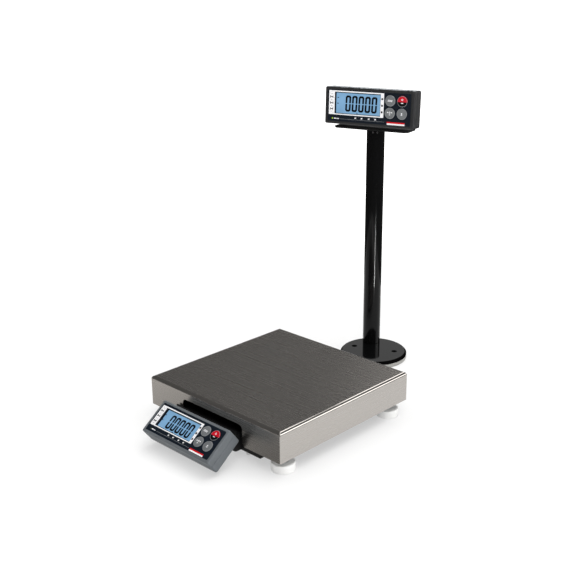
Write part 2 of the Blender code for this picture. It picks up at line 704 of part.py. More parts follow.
def build_display(name, axis, scale, materials, shell):
    """One display, hung from the empty on its tilt axis.  Face coordinates: x across, y into the
    body, z up the face, from the middle of the face."""

    def size(value):
        return value * scale

    origin = Vector((0, -size(PIVOT_DEPTH), -size(PIVOT_RISE)))
    split = size(FRONT_SHELL_DEPTH)
    depth = size(DISPLAY_DEPTH)
    wall = size(SHELL_WALL)
    face_back = size(FACE_WALL)
    recess = size(OVERLAY_RECESS)
    key_hole = size(KEY_RADIUS) + GAP
    window_place = Vector((size(WINDOW_X), 0, size(WINDOW_Z)))
    key_places = [
        (KEY_NAMES[row][column], Vector((size(KEY_COLUMNS[column]), 0, size(KEY_ROWS[row]))))
        for row in range(2)
        for column in range(2)
    ]

    # front shell: face with window and key holes, open at the back
    face = hollow_shell(f"{name}_front_shell", size, 0, split, size(FRONT_EDGE_RADIUS),
                        (face_back, split + PASS), split, shell, axis, origin)
    pocket = rounded_outline(size(OVERLAY_WIDTH), size(OVERLAY_HEIGHT), size(OVERLAY_CORNER))
    cut(face, prism_mesh(pocket, -PASS, recess, "Y"))
    window = rounded_outline(size(WINDOW_WIDTH), size(WINDOW_HEIGHT), size(WINDOW_CORNER), 1)
    cut(face, prism_mesh(window, -PASS, face_back + PASS, "Y"), window_place)
    for _, place in key_places:
        cut(face, pin_mesh(key_hole, -PASS, face_back + PASS, KEY_STEPS, "Y"), place)

    # overlay: the printed panel, with the same openings
    panel = rounded_outline(
        size(OVERLAY_WIDTH) - 2 * GAP, size(OVERLAY_HEIGHT) - 2 * GAP, size(OVERLAY_CORNER) - GAP
    )
    sheet = prism_mesh(panel, -size(OVERLAY_PROUD), recess - GAP, "Y")
    overlay = add(f"{name}_overlay", sheet, materials["overlay"], axis, origin)
    cut(overlay, prism_mesh(window, -PASS, PASS, "Y"), window_place)
    for _, place in key_places:
        cut(overlay, pin_mesh(key_hole, -PASS, PASS, KEY_STEPS, "Y"), place)

    # liquid-crystal module: a glass block with a raised pane that fills the window
    glass_front = face_back + GAP
    glass = box_mesh(
        (-size(GLASS_HALF_WIDTH), glass_front, -size(GLASS_HALF_HEIGHT)),
        (size(GLASS_HALF_WIDTH), glass_front + size(GLASS_THICKNESS), size(GLASS_HALF_HEIGHT)),
    )
    lcd = add(f"{name}_lcd", glass, materials["lcd"], axis, origin + window_place)
    pane = rounded_outline(
        size(WINDOW_WIDTH) - 2 * GAP, size(WINDOW_HEIGHT) - 2 * GAP, size(WINDOW_CORNER) - GAP, 1
    )
    fuse(lcd, prism_mesh(pane, GAP, glass_front + BITE, "Y"))

    for key, place in key_places:
        colour = materials["red_key"] if key == "power" else materials["grey_key"]
        add(f"{name}_key_{key}", turned_mesh(key_profile(size), KEY_STEPS, "Y"), colour, axis,
            origin + place, round_piece=True)

    # circuit board behind the keys and the glass
    board_front = size(PANEL_BOARD_FRONT)
    board_back = board_front + size(BOARD_THICKNESS)
    board = box_mesh(
        (size(PANEL_BOARD_LEFT), board_front, -size(PANEL_BOARD_HALF_HEIGHT)),
        (size(PANEL_BOARD_RIGHT), board_back, size(PANEL_BOARD_HALF_HEIGHT)),
    )
    add(f"{name}_board", board, materials["board"], axis, origin)

    # rear shell: open at the front, with posts for the board, two lugs and a cable gland
    rear = hollow_shell(f"{name}_rear_shell", size, split + GAP, depth, size(REAR_EDGE_RADIUS),
                        (split - PASS, depth - wall), split + GAP, shell, axis, origin)
    for x in (-size(SHELL_POST_X), size(SHELL_POST_X)):
        post = pin_mesh(size(SHELL_POST_RADIUS), board_back + GAP, depth - wall + BITE, axis="Y")
        fuse(rear, post, (x, 0, size(SHELL_POST_Z)))
    add_lugs(rear, size)
    gland = Vector((size(SHELL_GLAND_X), depth, size(SHELL_GLAND_Z)))
    cut(rear, pin_mesh(GLAND_NECK_RADIUS + GAP, -wall - PASS, PASS, SCREW_STEPS, "Y"), gland)
    add(f"{name}_cable_gland", turned_mesh(gland_profile(), SCREW_STEPS, "Y"), materials["rubber"],
        axis, origin + gland, round_piece=True)


def tilt_rod_mesh(scale):
    """A rod through lugs and cheeks, with a head outside each cheek."""
    cheek_outside = (CHEEK_X + CHEEK_WIDTH / 2) * scale + GAP
    radius = ROD_RADIUS * scale
    head = ROD_HEAD_RADIUS * scale
    end = cheek_outside + ROD_HEAD
    profile = [
        (0.0, -end),
        (head - ROD_CHAMFER, -end),
        (head, -end + ROD_CHAMFER),
        (head, -cheek_outside),
        (radius, -cheek_outside),
        (radius, cheek_outside),
        (head, cheek_outside),
        (head, end - ROD_CHAMFER),
        (head - ROD_CHAMFER, end),
        (0.0, end),
    ]
    return turned_mesh(profile, SCREW_STEPS, "X")


def tilted(vector, tilt):
    """A face vector (x across, y into the body, z up the face) leaned back by the tilt."""
    return Matrix.Rotation(-tilt, 3, "X") @ Vector(vector)


def add_cheeks(holder, outline, pivot, scale):
    """Two upright cheeks on a bracket or tray, bored on the tilt axis."""
    half = CHEEK_WIDTH * scale / 2 - GAP / 3
    for side in (-1, 1):
        x = side * CHEEK_X * scale
        fuse(holder, prism_mesh(outline, x - half, x + half, "X"))
        hole = pin_mesh(ROD_HOLE_RADIUS * scale, -half - PASS, half + PASS, SCREW_STEPS, "X")
        cut(holder, hole, (x, pivot.y, pivot.z))


def build_operator_bracket(root, materials, pivot):
    """Back plate on the pan's front flange, two cheeks, a stiffening strip and a raised wing."""
    back = -PAN_HALF - GAP
    front = back - BRACKET_SHEET
    half = CHEEK_X + CHEEK_WIDTH / 2
    low = BRACKET_LOW
    high = BRACKET_HIGH
    plate = box_mesh((-half, front, low), (half, back, high))
    bracket = add("operator_bracket", plate, materials["black_paint"], root)
    inset = GAP / 2
    foot_front = pivot.y + CHEEK_RADIUS
    cheek = [(back - inset, low + inset), (back - inset, high - inset)]
    cheek += [(front - BRACKET_CHEEK_TOP, high - inset)]
    cheek += [(front - BRACKET_CHEEK_NECK, pivot.z + CHEEK_RADIUS)]
    cheek += arc((pivot.y, pivot.z), CHEEK_RADIUS, pi / 2, 1.5 * pi, CHEEK_STEPS)
    cheek += [(foot_front + BRACKET_CHEEK_HEEL_STEP, low + BRACKET_CHEEK_HEEL_RISE)]
    cheek += [(foot_front + BRACKET_CHEEK_HEEL, low + inset)]
    add_cheeks(bracket, cheek, pivot, 1.0)
    strip_low = high - BRACKET_SHEET
    strip_front = front - BRACKET_STRIP_DEPTH
    fuse(bracket, box_mesh((-half, strip_front, strip_low), (half, front + BITE, high - inset)))
    wing_back = front - WING_OFFSET
    wing_low = (WING_LEFT, wing_back - WING_DEPTH, strip_low - BITE)
    fuse(bracket, box_mesh(wing_low, (WING_RIGHT, wing_back, WING_TOP)))
    head = BRACKET_SCREW_HEAD
    head_radius = BRACKET_SCREW_HEAD_RADIUS
    chamfer = BRACKET_SCREW_CHAMFER
    screw = [(0.0, -head), (head_radius - chamfer, -head), (head_radius, -head + chamfer)]
    screw += [(head_radius, 0.0), (BRACKET_SCREW_RADIUS, 0.0)]
    screw += [(BRACKET_SCREW_RADIUS, BRACKET_SCREW_LENGTH), (0.0, BRACKET_SCREW_LENGTH)]
    for name, side in (("left", -1), ("right", 1)):
        x = side * BRACKET_SCREW_X
        hole = pin_mesh(BRACKET_SCREW_HOLE, -PASS, BRACKET_SHEET + PASS, axis="Y")
        cut(bracket, hole, (x, front, BRACKET_SCREW_Z))
        add(f"bracket_screw_{name}", turned_mesh(screw, SCREW_STEPS, "Y"), materials["zinc"], root,
            (x, front - GAP, BRACKET_SCREW_Z), round_piece=True)


def build_operator_display(root, materials):
    pivot = OPERATOR_FACE + tilted((0, PIVOT_DEPTH, PIVOT_RISE), OPERATOR_TILT)
    axis = add_empty("operator_tilt_axis", root, pivot, (-OPERATOR_TILT, 0, 0))
    build_display("operator", axis, 1.0, materials, materials["grey_shell"])
    build_operator_bracket(root, materials, pivot)
    add("operator_tilt_rod", tilt_rod_mesh(1.0), materials["zinc"], root, pivot, round_piece=True)


def build_stand(root, materials):
    pad = [(0.0, 0.0), (STAND_RADIUS - STAND_EDGE, 0.0), (STAND_RADIUS, STAND_EDGE)]
    pad += [(STAND_RADIUS, STAND_PAD_HEIGHT), (0.0, STAND_PAD_HEIGHT)]
    stand_pad = add("stand_pad", turned_mesh(pad, DISC_STEPS), materials["light_grey"], root, STAND_CENTRE,
                    round_piece=True)
    bottom = STAND_PAD_HEIGHT + GAP
    disc = [(0.0, bottom), (STAND_RADIUS - STAND_EDGE, bottom), (STAND_RADIUS, bottom + STAND_EDGE)]
    disc += [(STAND_RADIUS, STAND_TOP - STAND_BEVEL), (STAND_RADIUS - STAND_BEVEL, STAND_TOP)]
    disc += [(0.0, STAND_TOP)]
    base = add("stand_base", turned_mesh(disc, DISC_STEPS), materials["black_gloss"], root, STAND_CENTRE,
               round_piece=True)
    offset = POLE_CENTRE - STAND_CENTRE
    spigot_top = STAND_TOP + SPIGOT_HEIGHT
    spigot = [(0.0, STAND_TOP - PASS), (SPIGOT_RADIUS, STAND_TOP - PASS)]
    spigot += [(SPIGOT_RADIUS, spigot_top - SPIGOT_CHAMFER)]
    spigot += [(SPIGOT_RADIUS - SPIGOT_CHAMFER, spigot_top), (0.0, spigot_top)]
    fuse(base, turned_mesh(spigot), offset)
    cut(base, pin_mesh(CABLE_HOLE_RADIUS, bottom - PASS, spigot_top + PASS), offset)
    cut(stand_pad, pin_mesh(CABLE_HOLE_RADIUS, -PASS, STAND_PAD_HEIGHT + PASS), offset)
    hole = STAND_HOLE_RADIUS
    sink = hole + STAND_SINK
    countersink = [(0.0, bottom - PASS), (hole, bottom - PASS), (hole, STAND_TOP - STAND_SINK)]
    countersink += [(sink, STAND_TOP), (sink, STAND_TOP + PASS), (0.0, STAND_TOP + PASS)]
    for angle in STAND_HOLE_ANGLES:
        place = (STAND_HOLE_CIRCLE * cos(angle), STAND_HOLE_CIRCLE * sin(angle), 0)
        cut(base, turned_mesh(countersink, SCREW_STEPS), place)


def build_pole(root, materials):
    bottom = STAND_TOP + GAP
    tube = [(POLE_BORE_RADIUS, bottom), (POLE_RADIUS, bottom), (POLE_RADIUS, POLE_TOP)]
    tube += [(POLE_BORE_RADIUS, POLE_TOP)]
    pole = add("pole", turned_mesh(tube, TUBE_STEPS), materials["black_gloss"], root, POLE_CENTRE,
               round_piece=True)
    height = Vector((0, 0, POLE_TOP - GRUB_DROP))
    tip = SPIGOT_RADIUS + GAP
    head_start = POLE_RADIUS + GAP
    head_end = head_start + GRUB_HEAD
    screw = [(0.0, tip), (GRUB_RADIUS, tip), (GRUB_RADIUS, head_start), (GRUB_HEAD_RADIUS, head_start)]
    screw += [(GRUB_HEAD_RADIUS, head_start + BITE), (GRUB_HEAD_RADIUS - BITE, head_end), (0.0, head_end)]
    for index, angle in enumerate(GRUB_ANGLES):
        turn = (0, 0, angle)
        hole = pin_mesh(GRUB_RADIUS + GAP, POLE_BORE_RADIUS - PASS, POLE_RADIUS + PASS, axis="X")
        cut(pole, hole, height, turn)
        add(f"pole_grub_screw_{index + 1}", turned_mesh(screw, FINE_STEPS, "X"), materials["zinc"], root,
            POLE_CENTRE + height, turn, round_piece=True)


def tray_outline():
    """A rectangle with cut corners, about the pole's axis."""
    outline = []
    for sx, y, sy in ((1, TRAY_BACK, 1), (-1, TRAY_BACK, 1), (-1, -TRAY_FRONT, -1), (1, -TRAY_FRONT, -1)):
        side = (sx * TRAY_HALF_WIDTH, y - sy * TRAY_CHAMFER)
        end = (sx * (TRAY_HALF_WIDTH - TRAY_CHAMFER), y)
        outline += [side, end] if sx * sy > 0 else [end, side]
    return outline


def build_customer_display(root, materials):
    scale = CUSTOMER_SCALE
    swivel = add_empty("pole_swivel_axis", root, POLE_CENTRE, (0, 0, CUSTOMER_YAW))
    reach = tilted((0, PIVOT_DEPTH * scale, PIVOT_RISE * scale), CUSTOMER_TILT)
    pivot = Vector((0.0, CUSTOMER_PIVOT_Y, CUSTOMER_FACE_HEIGHT + reach.z))
    axis = add_empty("customer_tilt_axis", swivel, pivot, (-CUSTOMER_TILT, 0, 0))
    build_display("customer", axis, scale, materials, materials["dark_shell"])
    add("customer_tilt_rod", tilt_rod_mesh(scale), materials["zinc"], swivel, pivot, round_piece=True)

    # swivel plug: a thin collar on the tube's end and a spigot inside it
    collar_top = TRAY_BOTTOM - GAP
    collar_bottom = POLE_TOP + GAP
    low = POLE_TOP - PLUG_LENGTH
    plug = [(CABLE_HOLE_RADIUS, low), (SPIGOT_RADIUS - SPIGOT_CHAMFER, low)]
    plug += [(SPIGOT_RADIUS, low + SPIGOT_CHAMFER)]
    plug += [(SPIGOT_RADIUS, collar_bottom), (POLE_RADIUS, collar_bottom), (POLE_RADIUS, collar_top)]
    plug += [(CABLE_HOLE_RADIUS, collar_top)]
    add("swivel_plug", turned_mesh(plug), materials["black_gloss"], swivel, round_piece=True)

    # tray: plate with cut corners and the two cheeks that hold the tilt rod
    top = TRAY_BOTTOM + TRAY_THICKNESS
    tray = add("display_tray", prism_mesh(tray_outline(), TRAY_BOTTOM, top), materials["black_paint"],
               swivel)
    front = pivot.y - CUSTOMER_CHEEK_FRONT
    back = pivot.y + CUSTOMER_CHEEK_BACK
    cheek = [(front, top - BITE), (back, top - BITE), (back, pivot.z - CUSTOMER_CHEEK_SHOULDER)]
    cheek += arc((pivot.y, pivot.z), CHEEK_RADIUS * scale, 0.0, pi, CHEEK_STEPS)
    cheek += [(front, pivot.z - CUSTOMER_CHEEK_THROAT)]
    add_cheeks(tray, cheek, pivot, scale)
    cut(tray, pin_mesh(CABLE_HOLE_RADIUS, TRAY_BOTTOM - PASS, top + PASS))


# ---------------------------------------------------------------- assembly


def stand_on_origin(root):
    """Move the assembly so that its box stands on the origin, bottom centre."""
    graph = bpy.context.evaluated_depsgraph_get()
    low = Vector((1e9, 1e9, 1e9))
    high = Vector((-1e9, -1e9, -1e9))
    for piece in bpy.context.scene.objects:
        if piece.type != "MESH" or piece.hide_render:
            continue
        shape = piece.evaluated_get(graph)
        for vertex in shape.data.vertices:
            point = shape.matrix_world @ vertex.co
            low = Vector(map(min, low, point))
            high = Vector(map(max, high, point))
    root.location = (-(low.x + high.x) / 2, -(low.y + high.y) / 2, -low.z)


def main():
    for old in list(bpy.data.objects):
        bpy.data.objects.remove(old, do_unlink=True)
    materials = {
        "stainless": make_material("stainless", (0.42, 0.40, 0.38), 0.35, 1.0),
        "black_paint": make_material("black_paint", (0.015, 0.015, 0.016), 0.45),
        "black_gloss": make_material("black_gloss", (0.010, 0.010, 0.011), 0.12),
        "white_plastic": make_material("white_plastic", (0.82, 0.82, 0.81), 0.45),
        "zinc": make_material("zinc", (0.60, 0.61, 0.63), 0.30, 1.0),
        "aluminium": make_material("aluminium", (0.72, 0.73, 0.74), 0.35, 1.0),
        "cast": make_material("cast", (0.35, 0.36, 0.37), 0.55, 1.0),
        "rubber": make_material("rubber", (0.02, 0.02, 0.02), 0.80),
        "board": make_material("board", (0.02, 0.18, 0.07), 0.50),
        "level_green": make_material("level_green", (0.35, 0.75, 0.20), 0.15),
        "grey_shell": make_material("grey_shell", (0.17, 0.18, 0.20), 0.50),
        "dark_shell": make_material("dark_shell", (0.055, 0.055, 0.058), 0.45),
        "overlay": make_material("overlay", (0.012, 0.018, 0.028), 0.35),
        "lcd": make_material("lcd", (0.25, 0.45, 0.75), 0.15),
        "grey_key": make_material("grey_key", (0.22, 0.23, 0.25), 0.45),
        "red_key": make_material("red_key", (0.75, 0.01, 0.03), 0.40),
        "light_grey": make_material("light_grey", (0.52, 0.51, 0.48), 0.60),
    }
    root = add_empty("scale_origin", None, (0, 0, 0))
    build_base_pan(root, materials)
    build_feet(root, materials)
    build_load_cell(root, materials)
    build_spider(root, materials)
    build_fittings(root, materials)
    build_platter(root, materials)
    build_operator_display(root, materials)
    build_stand(root, materials)
    build_pole(root, materials)
    build_customer_display(root, materials)
    bpy.context.view_layer.update()
    stand_on_origin(root)
    bpy.context.view_layer.update()


main()
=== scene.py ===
"""Looks of a platform shipping scale: a stainless platter on a low base, an operator display on a
tilting bracket and a second display on a pole stand.  Metres, +Z up, on a pale studio floor."""

import json
from math import cos, pi, radians, sin

import bmesh
import bpy
from mathutils import Matrix, Vector
from mathutils.geometry import tessellate_polygon


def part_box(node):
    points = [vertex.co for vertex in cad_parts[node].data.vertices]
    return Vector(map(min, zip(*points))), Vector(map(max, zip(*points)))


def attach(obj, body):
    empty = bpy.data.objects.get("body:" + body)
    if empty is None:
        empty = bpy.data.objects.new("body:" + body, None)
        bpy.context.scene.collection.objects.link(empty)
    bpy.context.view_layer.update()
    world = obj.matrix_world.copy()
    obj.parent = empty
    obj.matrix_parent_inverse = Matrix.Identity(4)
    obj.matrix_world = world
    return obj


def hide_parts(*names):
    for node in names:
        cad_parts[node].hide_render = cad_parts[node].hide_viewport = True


MM = 0.001
DISPLAYS = ("operator", "customer")
KEYS = ("units", "power", "tare", "send")
CORNERS = ("front_left", "front_right", "back_left", "back_right")

# platter
FOLD = 5.4 * MM
SHEET = 1.5 * MM
CORNER = 1.6 * MM
NOTCH_RISE = 35.7 * MM
NOTCH_HALF = 70.5 * MM
NOTCH_TOP_ROUND = 8 * MM
NOTCH_FOOT_ROUND = 6 * MM

# feet
THREAD_PITCH = 1.25 * MM
NUT_DROP = 10.7 * MM
NUT_HEIGHT = 5 * MM

# displays, in face millimetres: x across, y up the face, z out of it
FACE_WIDTH = 158.0
FACE_HEIGHT = 60.0
PANEL_WIDTH = 147.5
FRONT_EDGE = 2.6
REAR_EDGE = 4.0
SPLIT_LEVEL = -12.0
BACK_LEVEL = -30.6
PANEL_TOP = 0.2
GLASS_LEVEL = -2.1
KEY_HOLE = 9.1
INK = 0.05
LUG_CENTRE = (-37, 18)
LUG_RADIUS = 5.5
LUG_OUT = 59

# pole stand
TUBE_WALL = 1.8 * MM
SPIGOT_SLACK = 0.4 * MM
FOOT_PART = 32 * MM
PLATE_TOP = 14 * MM
PLATE_BEVEL = 3 * MM
HOLE_REACH = 41 * MM
HOLE_TURNS = (30, 196)

# studio: the sky's bright bands are set by its lean to the right and by its rise
SKY_LOW = 0.122
SKY_HIGH = 3.4
LEAN_WAY = (0.83, 0.55, 0.0)
STRIP_START = (-0.03, 0.02)
STRIP_END = (0.28, 0.22)
STRIP_RISE = (0.46, 0.52)
WING_LEAN = (0.83, 0.88)
WING_RISE = (0.10, 0.18)
WING_SHARE = 1.1
CROWN_LEAN = (0.12, 0.22)
CROWN_RISE = (0.78, 0.86)
FLOOR_TINT = 0.30
FLOOR_GLOW = 0.50
FAR_GLOW = 1.25
GLOW_REACH = (0.55, 1.5)
# span across X over which the painted reflection card fades from its first glow to its second
PAINTED_REFLECTION_REACH = (-0.30, 0.10)

# lamps: offset from what they light, along for the way their long side lies, metres and watts
LAMPS = {
    "dome": dict(power=190.0, offset=(0, 0, 3.0), along=(1, 0, 0), size=(6.0, 6.0)),
    "feet_fill": dict(power=18.0, offset=(1.5, -1.3, 1.4), along=(0.66, 0.75, 0), size=(1.2, 0.7),
                      unshaded=True),
    "rim": dict(power=16.0, offset=(-1.63, 1.80, 0.60), along=(0.74, 0.67, 0), size=(1.6, 0.9),
                colour=(0.90, 0.96, 1.0)),
    "disc_fill": dict(power=0.45, offset=(-1.6175, 1.7325, 0.7975), along=(0.73, 0.68, 0),
                      size=(1.4, 0.9)),
    "streak": dict(power=5.0, offset=(0.64728, -0.31464, 0), along=(0.899, -0.437, 0),
                   size=(0.62, 0.012), facing=(0, 0, 1)),
}

# camera, measured from the middle of the platter's footprint
CAMERA_PLACE = (1.01285, -1.00558, 0.71141)
CAMERA_YAW = -0.7510112
CAMERA_PITCH = 0.3246213
CAMERA_LENS = 58.044
CAMERA_SHIFT = -0.0445

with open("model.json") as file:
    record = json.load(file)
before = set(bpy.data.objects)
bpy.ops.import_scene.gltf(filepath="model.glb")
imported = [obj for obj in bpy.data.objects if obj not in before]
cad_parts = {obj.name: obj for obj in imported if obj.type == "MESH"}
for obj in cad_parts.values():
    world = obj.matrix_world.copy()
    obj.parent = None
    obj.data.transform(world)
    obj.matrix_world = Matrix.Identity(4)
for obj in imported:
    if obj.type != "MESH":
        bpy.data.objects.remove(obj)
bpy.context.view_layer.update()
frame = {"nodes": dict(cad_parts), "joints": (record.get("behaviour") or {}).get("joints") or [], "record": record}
NODES = frame["nodes"]
JOINTS = {joint["name"]: joint for joint in frame["joints"]}
for old_light in [o for o in bpy.data.objects if o.type in {"LIGHT", "CAMERA"}]:
    bpy.data.objects.remove(old_light)


# ---------------------------------------------------------------- materials


class Graph:
    """Short-hand for the node tree of a material, or of the world."""

    def __init__(self, name, world=None):
        self.material = world or bpy.data.materials.new(name)
        self.material.use_nodes = True
        self.tree = self.material.node_tree
        self.shader = self.tree.nodes.get("Principled BSDF")
        self.place = self.tree.nodes.new("ShaderNodeTexCoord")

    def node(self, kind, inputs=(), **settings):
        new = self.tree.nodes.new(kind)
        for key, value in settings.items():
            setattr(new, key, value)
        for socket, value in dict(inputs).items():
            self.feed(new.inputs[socket], value)
        return new

    def feed(self, socket, value):
        if isinstance(value, bpy.types.NodeSocket):
            self.tree.links.new(value, socket)
        else:
            socket.default_value = value

    def noise(self, scale, stretch=(1, 1, 1), detail=3.0, rough=0.6):
        where = self.place.outputs["Object"]
        moved = self.node("ShaderNodeMapping", {"Vector": where, "Scale": stretch})
        new = self.node("ShaderNodeTexNoise", {"Vector": moved.outputs[0], "Scale": scale,
                                               "Detail": detail, "Roughness": rough})
        return new.outputs["Fac"]

    def spread(self, value, low, high, start=0.3, end=0.7):
        new = self.node("ShaderNodeMapRange", {"Value": value, "From Min": start, "From Max": end,
                                               "To Min": low, "To Max": high})
        return new.outputs["Result"]

    def mix(self, factor, first, second):
        new = self.node("ShaderNodeMix", data_type="RGBA")
        self.feed(new.inputs[0], factor)
        self.feed(new.inputs[6], first)
        self.feed(new.inputs[7], second)
        return new.outputs[2]

    def blend(self, factor, first, second):
        new = self.node("ShaderNodeMix", data_type="FLOAT")
        self.feed(new.inputs[0], factor)
        self.feed(new.inputs[2], first)
        self.feed(new.inputs[3], second)
        return new.outputs[0]

    def set(self, **values):
        names = {"colour": "Base Color", "rough": "Roughness", "metal": "Metallic", "normal": "Normal",
                 "gloss": "Specular IOR Level", "coat": "Coat Weight", "coat_rough": "Coat Roughness",
                 "glow": "Emission Color", "glow_strength": "Emission Strength"}
        for key, value in values.items():
            self.feed(self.shader.inputs[names[key]], value)

    def relief(self, height, strength, distance, edge=0.0):
        inputs = {"Height": height, "Strength": strength, "Distance": distance}
        if edge:
            soft = self.node("ShaderNodeBevel", {"Radius": edge}, samples=4)
            inputs["Normal"] = soft.outputs[0]
        return self.node("ShaderNodeBump", inputs).outputs[0]


def shade(colour, factor):
    return tuple(min(1.0, channel * factor) for channel in colour[:3]) + (1.0,)


def surface(name, colour, rough, metal=0.0, gloss=0.5, grain=1400.0, bump=0.15, vary=0.1, coat=0.0,
            edge=0.0):
    """Painted, moulded or cast surface: fine grain, uneven sheen and faint clouding."""
    g = Graph(name)
    fine = g.noise(grain)
    broad = g.noise(14.0, detail=5.0)
    tint = g.mix(g.spread(broad, 0.0, 1.0), shade(colour, 1 - vary), shade(colour, 1 + vary))
    uneven = g.spread(fine, rough * 0.85, min(1.0, rough * 1.15))
    g.set(colour=tint, rough=uneven, metal=metal, gloss=gloss, coat=coat, coat_rough=0.05)
    g.set(normal=g.relief(fine, bump, 0.0002, edge))
    return g.material


def brushed(name, colour, rough):
    """Brushed stainless sheet; the grain runs along X, and along Y on faces that look along X."""
    g = Graph(name)
    facing = g.node("ShaderNodeSeparateXYZ", {"Vector": g.place.outputs["Normal"]})
    side = g.node("ShaderNodeMath", {0: facing.outputs[0], 1: 0.0}, operation="ABSOLUTE")
    side = g.node("ShaderNodeMath", {0: side.outputs[0], 1: 0.7}, operation="GREATER_THAN").outputs[0]

    def lines(along, across):
        over = g.noise(1.0, (along, across, across), 4.0, 0.7)
        return g.blend(side, over, g.noise(1.0, (across, along, across), 4.0, 0.7))

    hair = lines(14.0, 2600.0)
    streak = lines(3.0, 320.0)
    cloud = g.noise(9.0, detail=4.0)
    tone = g.blend(0.45, streak, cloud)
    tint = g.mix(g.spread(tone, 0.0, 1.0), shade(colour, 0.98), shade(colour, 1.02))
    g.set(colour=tint, rough=g.spread(g.blend(0.5, hair, streak), rough * 0.96, rough * 1.04), metal=1.0)
    g.set(normal=g.relief(hair, 0.003, 0.00002))
    return g.material


def foam(name, colour):
    """Closed-cell rubber: fine pits in a matt skin, the pits also drawn darker as painted shade."""
    g = Graph(name)
    cells = g.node("ShaderNodeTexVoronoi", {"Vector": g.place.outputs["Object"], "Scale": 900.0})
    pits = g.spread(cells.outputs["Distance"], 0.0, 1.0, 0.0, 0.6)
    # the darker colour in the pits is painted shade in the hollows
    g.set(colour=g.mix(pits, shade(colour, 0.88), shade(colour, 1.05)), rough=0.75, gloss=0.25)
    g.set(normal=g.relief(pits, 0.3, 0.0002))
    return g.material


def backlit(name, dim, bright):
    """The lit pane behind the digits, its light clouded a little and finely ribbed."""
    g = Graph(name)
    ribs = g.noise(1.0, (2400.0, 2400.0, 30.0), 2.0)
    cloud = g.noise(28.0, detail=2.0)
    level = g.spread(g.blend(0.3, cloud, ribs), 0.0, 1.0, 0.35, 0.65)
    light = g.mix(level, (*dim, 1.0), (*bright, 1.0))
    g.set(colour=(0.02, 0.04, 0.07, 1.0), rough=0.12, gloss=0.1, glow=light, glow_strength=1.0)
    g.set(normal=g.relief(ribs, 0.02, 0.00002))
    return g.material


def circuit(name, colour):
    """Solder-masked board with copper tracks showing faintly through the mask."""
    g = Graph(name)
    tracks = g.node("ShaderNodeTexBrick", {"Vector": g.place.outputs["Object"], "Scale": 160.0,
                                           "Mortar Size": 0.12, "Color1": (*colour, 1.0),
                                           "Color2": shade(colour, 0.8), "Mortar": shade(colour, 1.9)})
    height = g.noise(700.0)
    g.set(colour=tracks.outputs["Color"], rough=0.35, coat=0.3, coat_rough=0.2)
    g.set(normal=g.relief(height, 0.2, 0.0001, 0.0003))
    return g.material


def clear_green(name):
    """The tinted liquid of the level."""
    g = Graph(name)
    depth = g.noise(60.0)
    tint = g.mix(depth, (0.30, 0.62, 0.10, 1), (0.5, 0.85, 0.2, 1))
    g.set(colour=tint, rough=0.06, gloss=0.6, coat=1.0)
    g.set(normal=g.relief(depth, 0.03, 0.0001))
    return g.material


def printed(name, colour, glow):
    """Bright colour that glows on top of the room's light: a painted glow on the white ink, and the lit lamp's own
    light.
    """
    g = Graph(name)
    grain = g.noise(2200.0)
    g.set(colour=g.mix(grain, shade(colour, 0.97), (*colour, 1.0)), rough=0.5, gloss=0.2)
    g.set(glow=(*colour, 1.0), glow_strength=glow, normal=g.relief(grain, 0.03, 0.00005))
    return g.material


STEEL = (0.475, 0.451, 0.424)
SURFACES = {
    "black_paint": ((0.006, 0.006, 0.0065), 0.5, dict(gloss=0.3, bump=0.3, edge=0.0006)),
    "black_gloss": ((0.004, 0.004, 0.0042), 0.09, dict(gloss=0.16, bump=0.01, grain=260.0)),
    "plate_gloss": ((0.004, 0.0043, 0.0046), 0.06, dict(gloss=0.8, bump=0.004, grain=260.0, coat=0.8)),
    "rim_black": ((0.003, 0.003, 0.003), 0.6, dict(gloss=0.0, bump=0.02, grain=600.0)),
    "white_plastic": ((0.83, 0.83, 0.82), 0.42, dict(bump=0.12, vary=0.02)),
    "zinc": ((0.58, 0.59, 0.61), 0.3, dict(metal=1.0, edge=0.0003)),
    "dark_zinc": ((0.2, 0.19, 0.2), 0.35, dict(metal=1.0)),
    "aluminium": ((0.72, 0.73, 0.74), 0.36, dict(metal=1.0, grain=500.0, bump=0.1, edge=0.0006)),
    "cast": ((0.32, 0.33, 0.34), 0.55, dict(metal=0.9, grain=420.0, bump=0.5, edge=0.0012)),
    "rubber": ((0.018, 0.018, 0.018), 0.75, dict(gloss=0.3, bump=0.25, edge=0.0005)),
    "grey_shell": ((0.172, 0.189, 0.205), 0.48, dict(gloss=0.35, bump=0.35)),
    "dark_shell": ((0.033, 0.0335, 0.035), 0.42, dict(gloss=0.25, bump=0.3)),
    "overlay": ((0.007, 0.0125, 0.022), 0.34, dict(gloss=0.2, bump=0.06, vary=0.06)),
    "grey_key": ((0.20, 0.21, 0.22), 0.45, dict(gloss=0.3, bump=0.15)),
    "red_key": ((0.72, 0.004, 0.022), 0.4, dict(gloss=0.3, bump=0.12, vary=0.04)),
    "ink_grey": ((0.36, 0.38, 0.40), 0.5, dict(gloss=0.2, bump=0.03, vary=0.04)),
    "ink_black": ((0.004, 0.004, 0.005), 0.4, dict(gloss=0.15, bump=0.03, vary=0.05)),
    "ink_red": ((0.78, 0.004, 0.012), 0.45, dict(gloss=0.2, bump=0.03, vary=0.03)),
    "segment": ((0.002, 0.003, 0.006), 0.3, dict(gloss=0.1, bump=0.02, vary=0.05)),
    "lamp": ((0.10, 0.11, 0.01), 0.2, dict(gloss=0.5, bump=0.02)),
    "chip": ((0.012, 0.012, 0.013), 0.5, dict(bump=0.2)),
    "copper": ((0.65, 0.42, 0.2), 0.35, dict(metal=1.0)),
    "nylon": ((0.62, 0.6, 0.52), 0.5, dict(bump=0.1)),
}
MAT = {name: surface(name, colour, rough, **more) for name, (colour, rough, more) in SURFACES.items()}
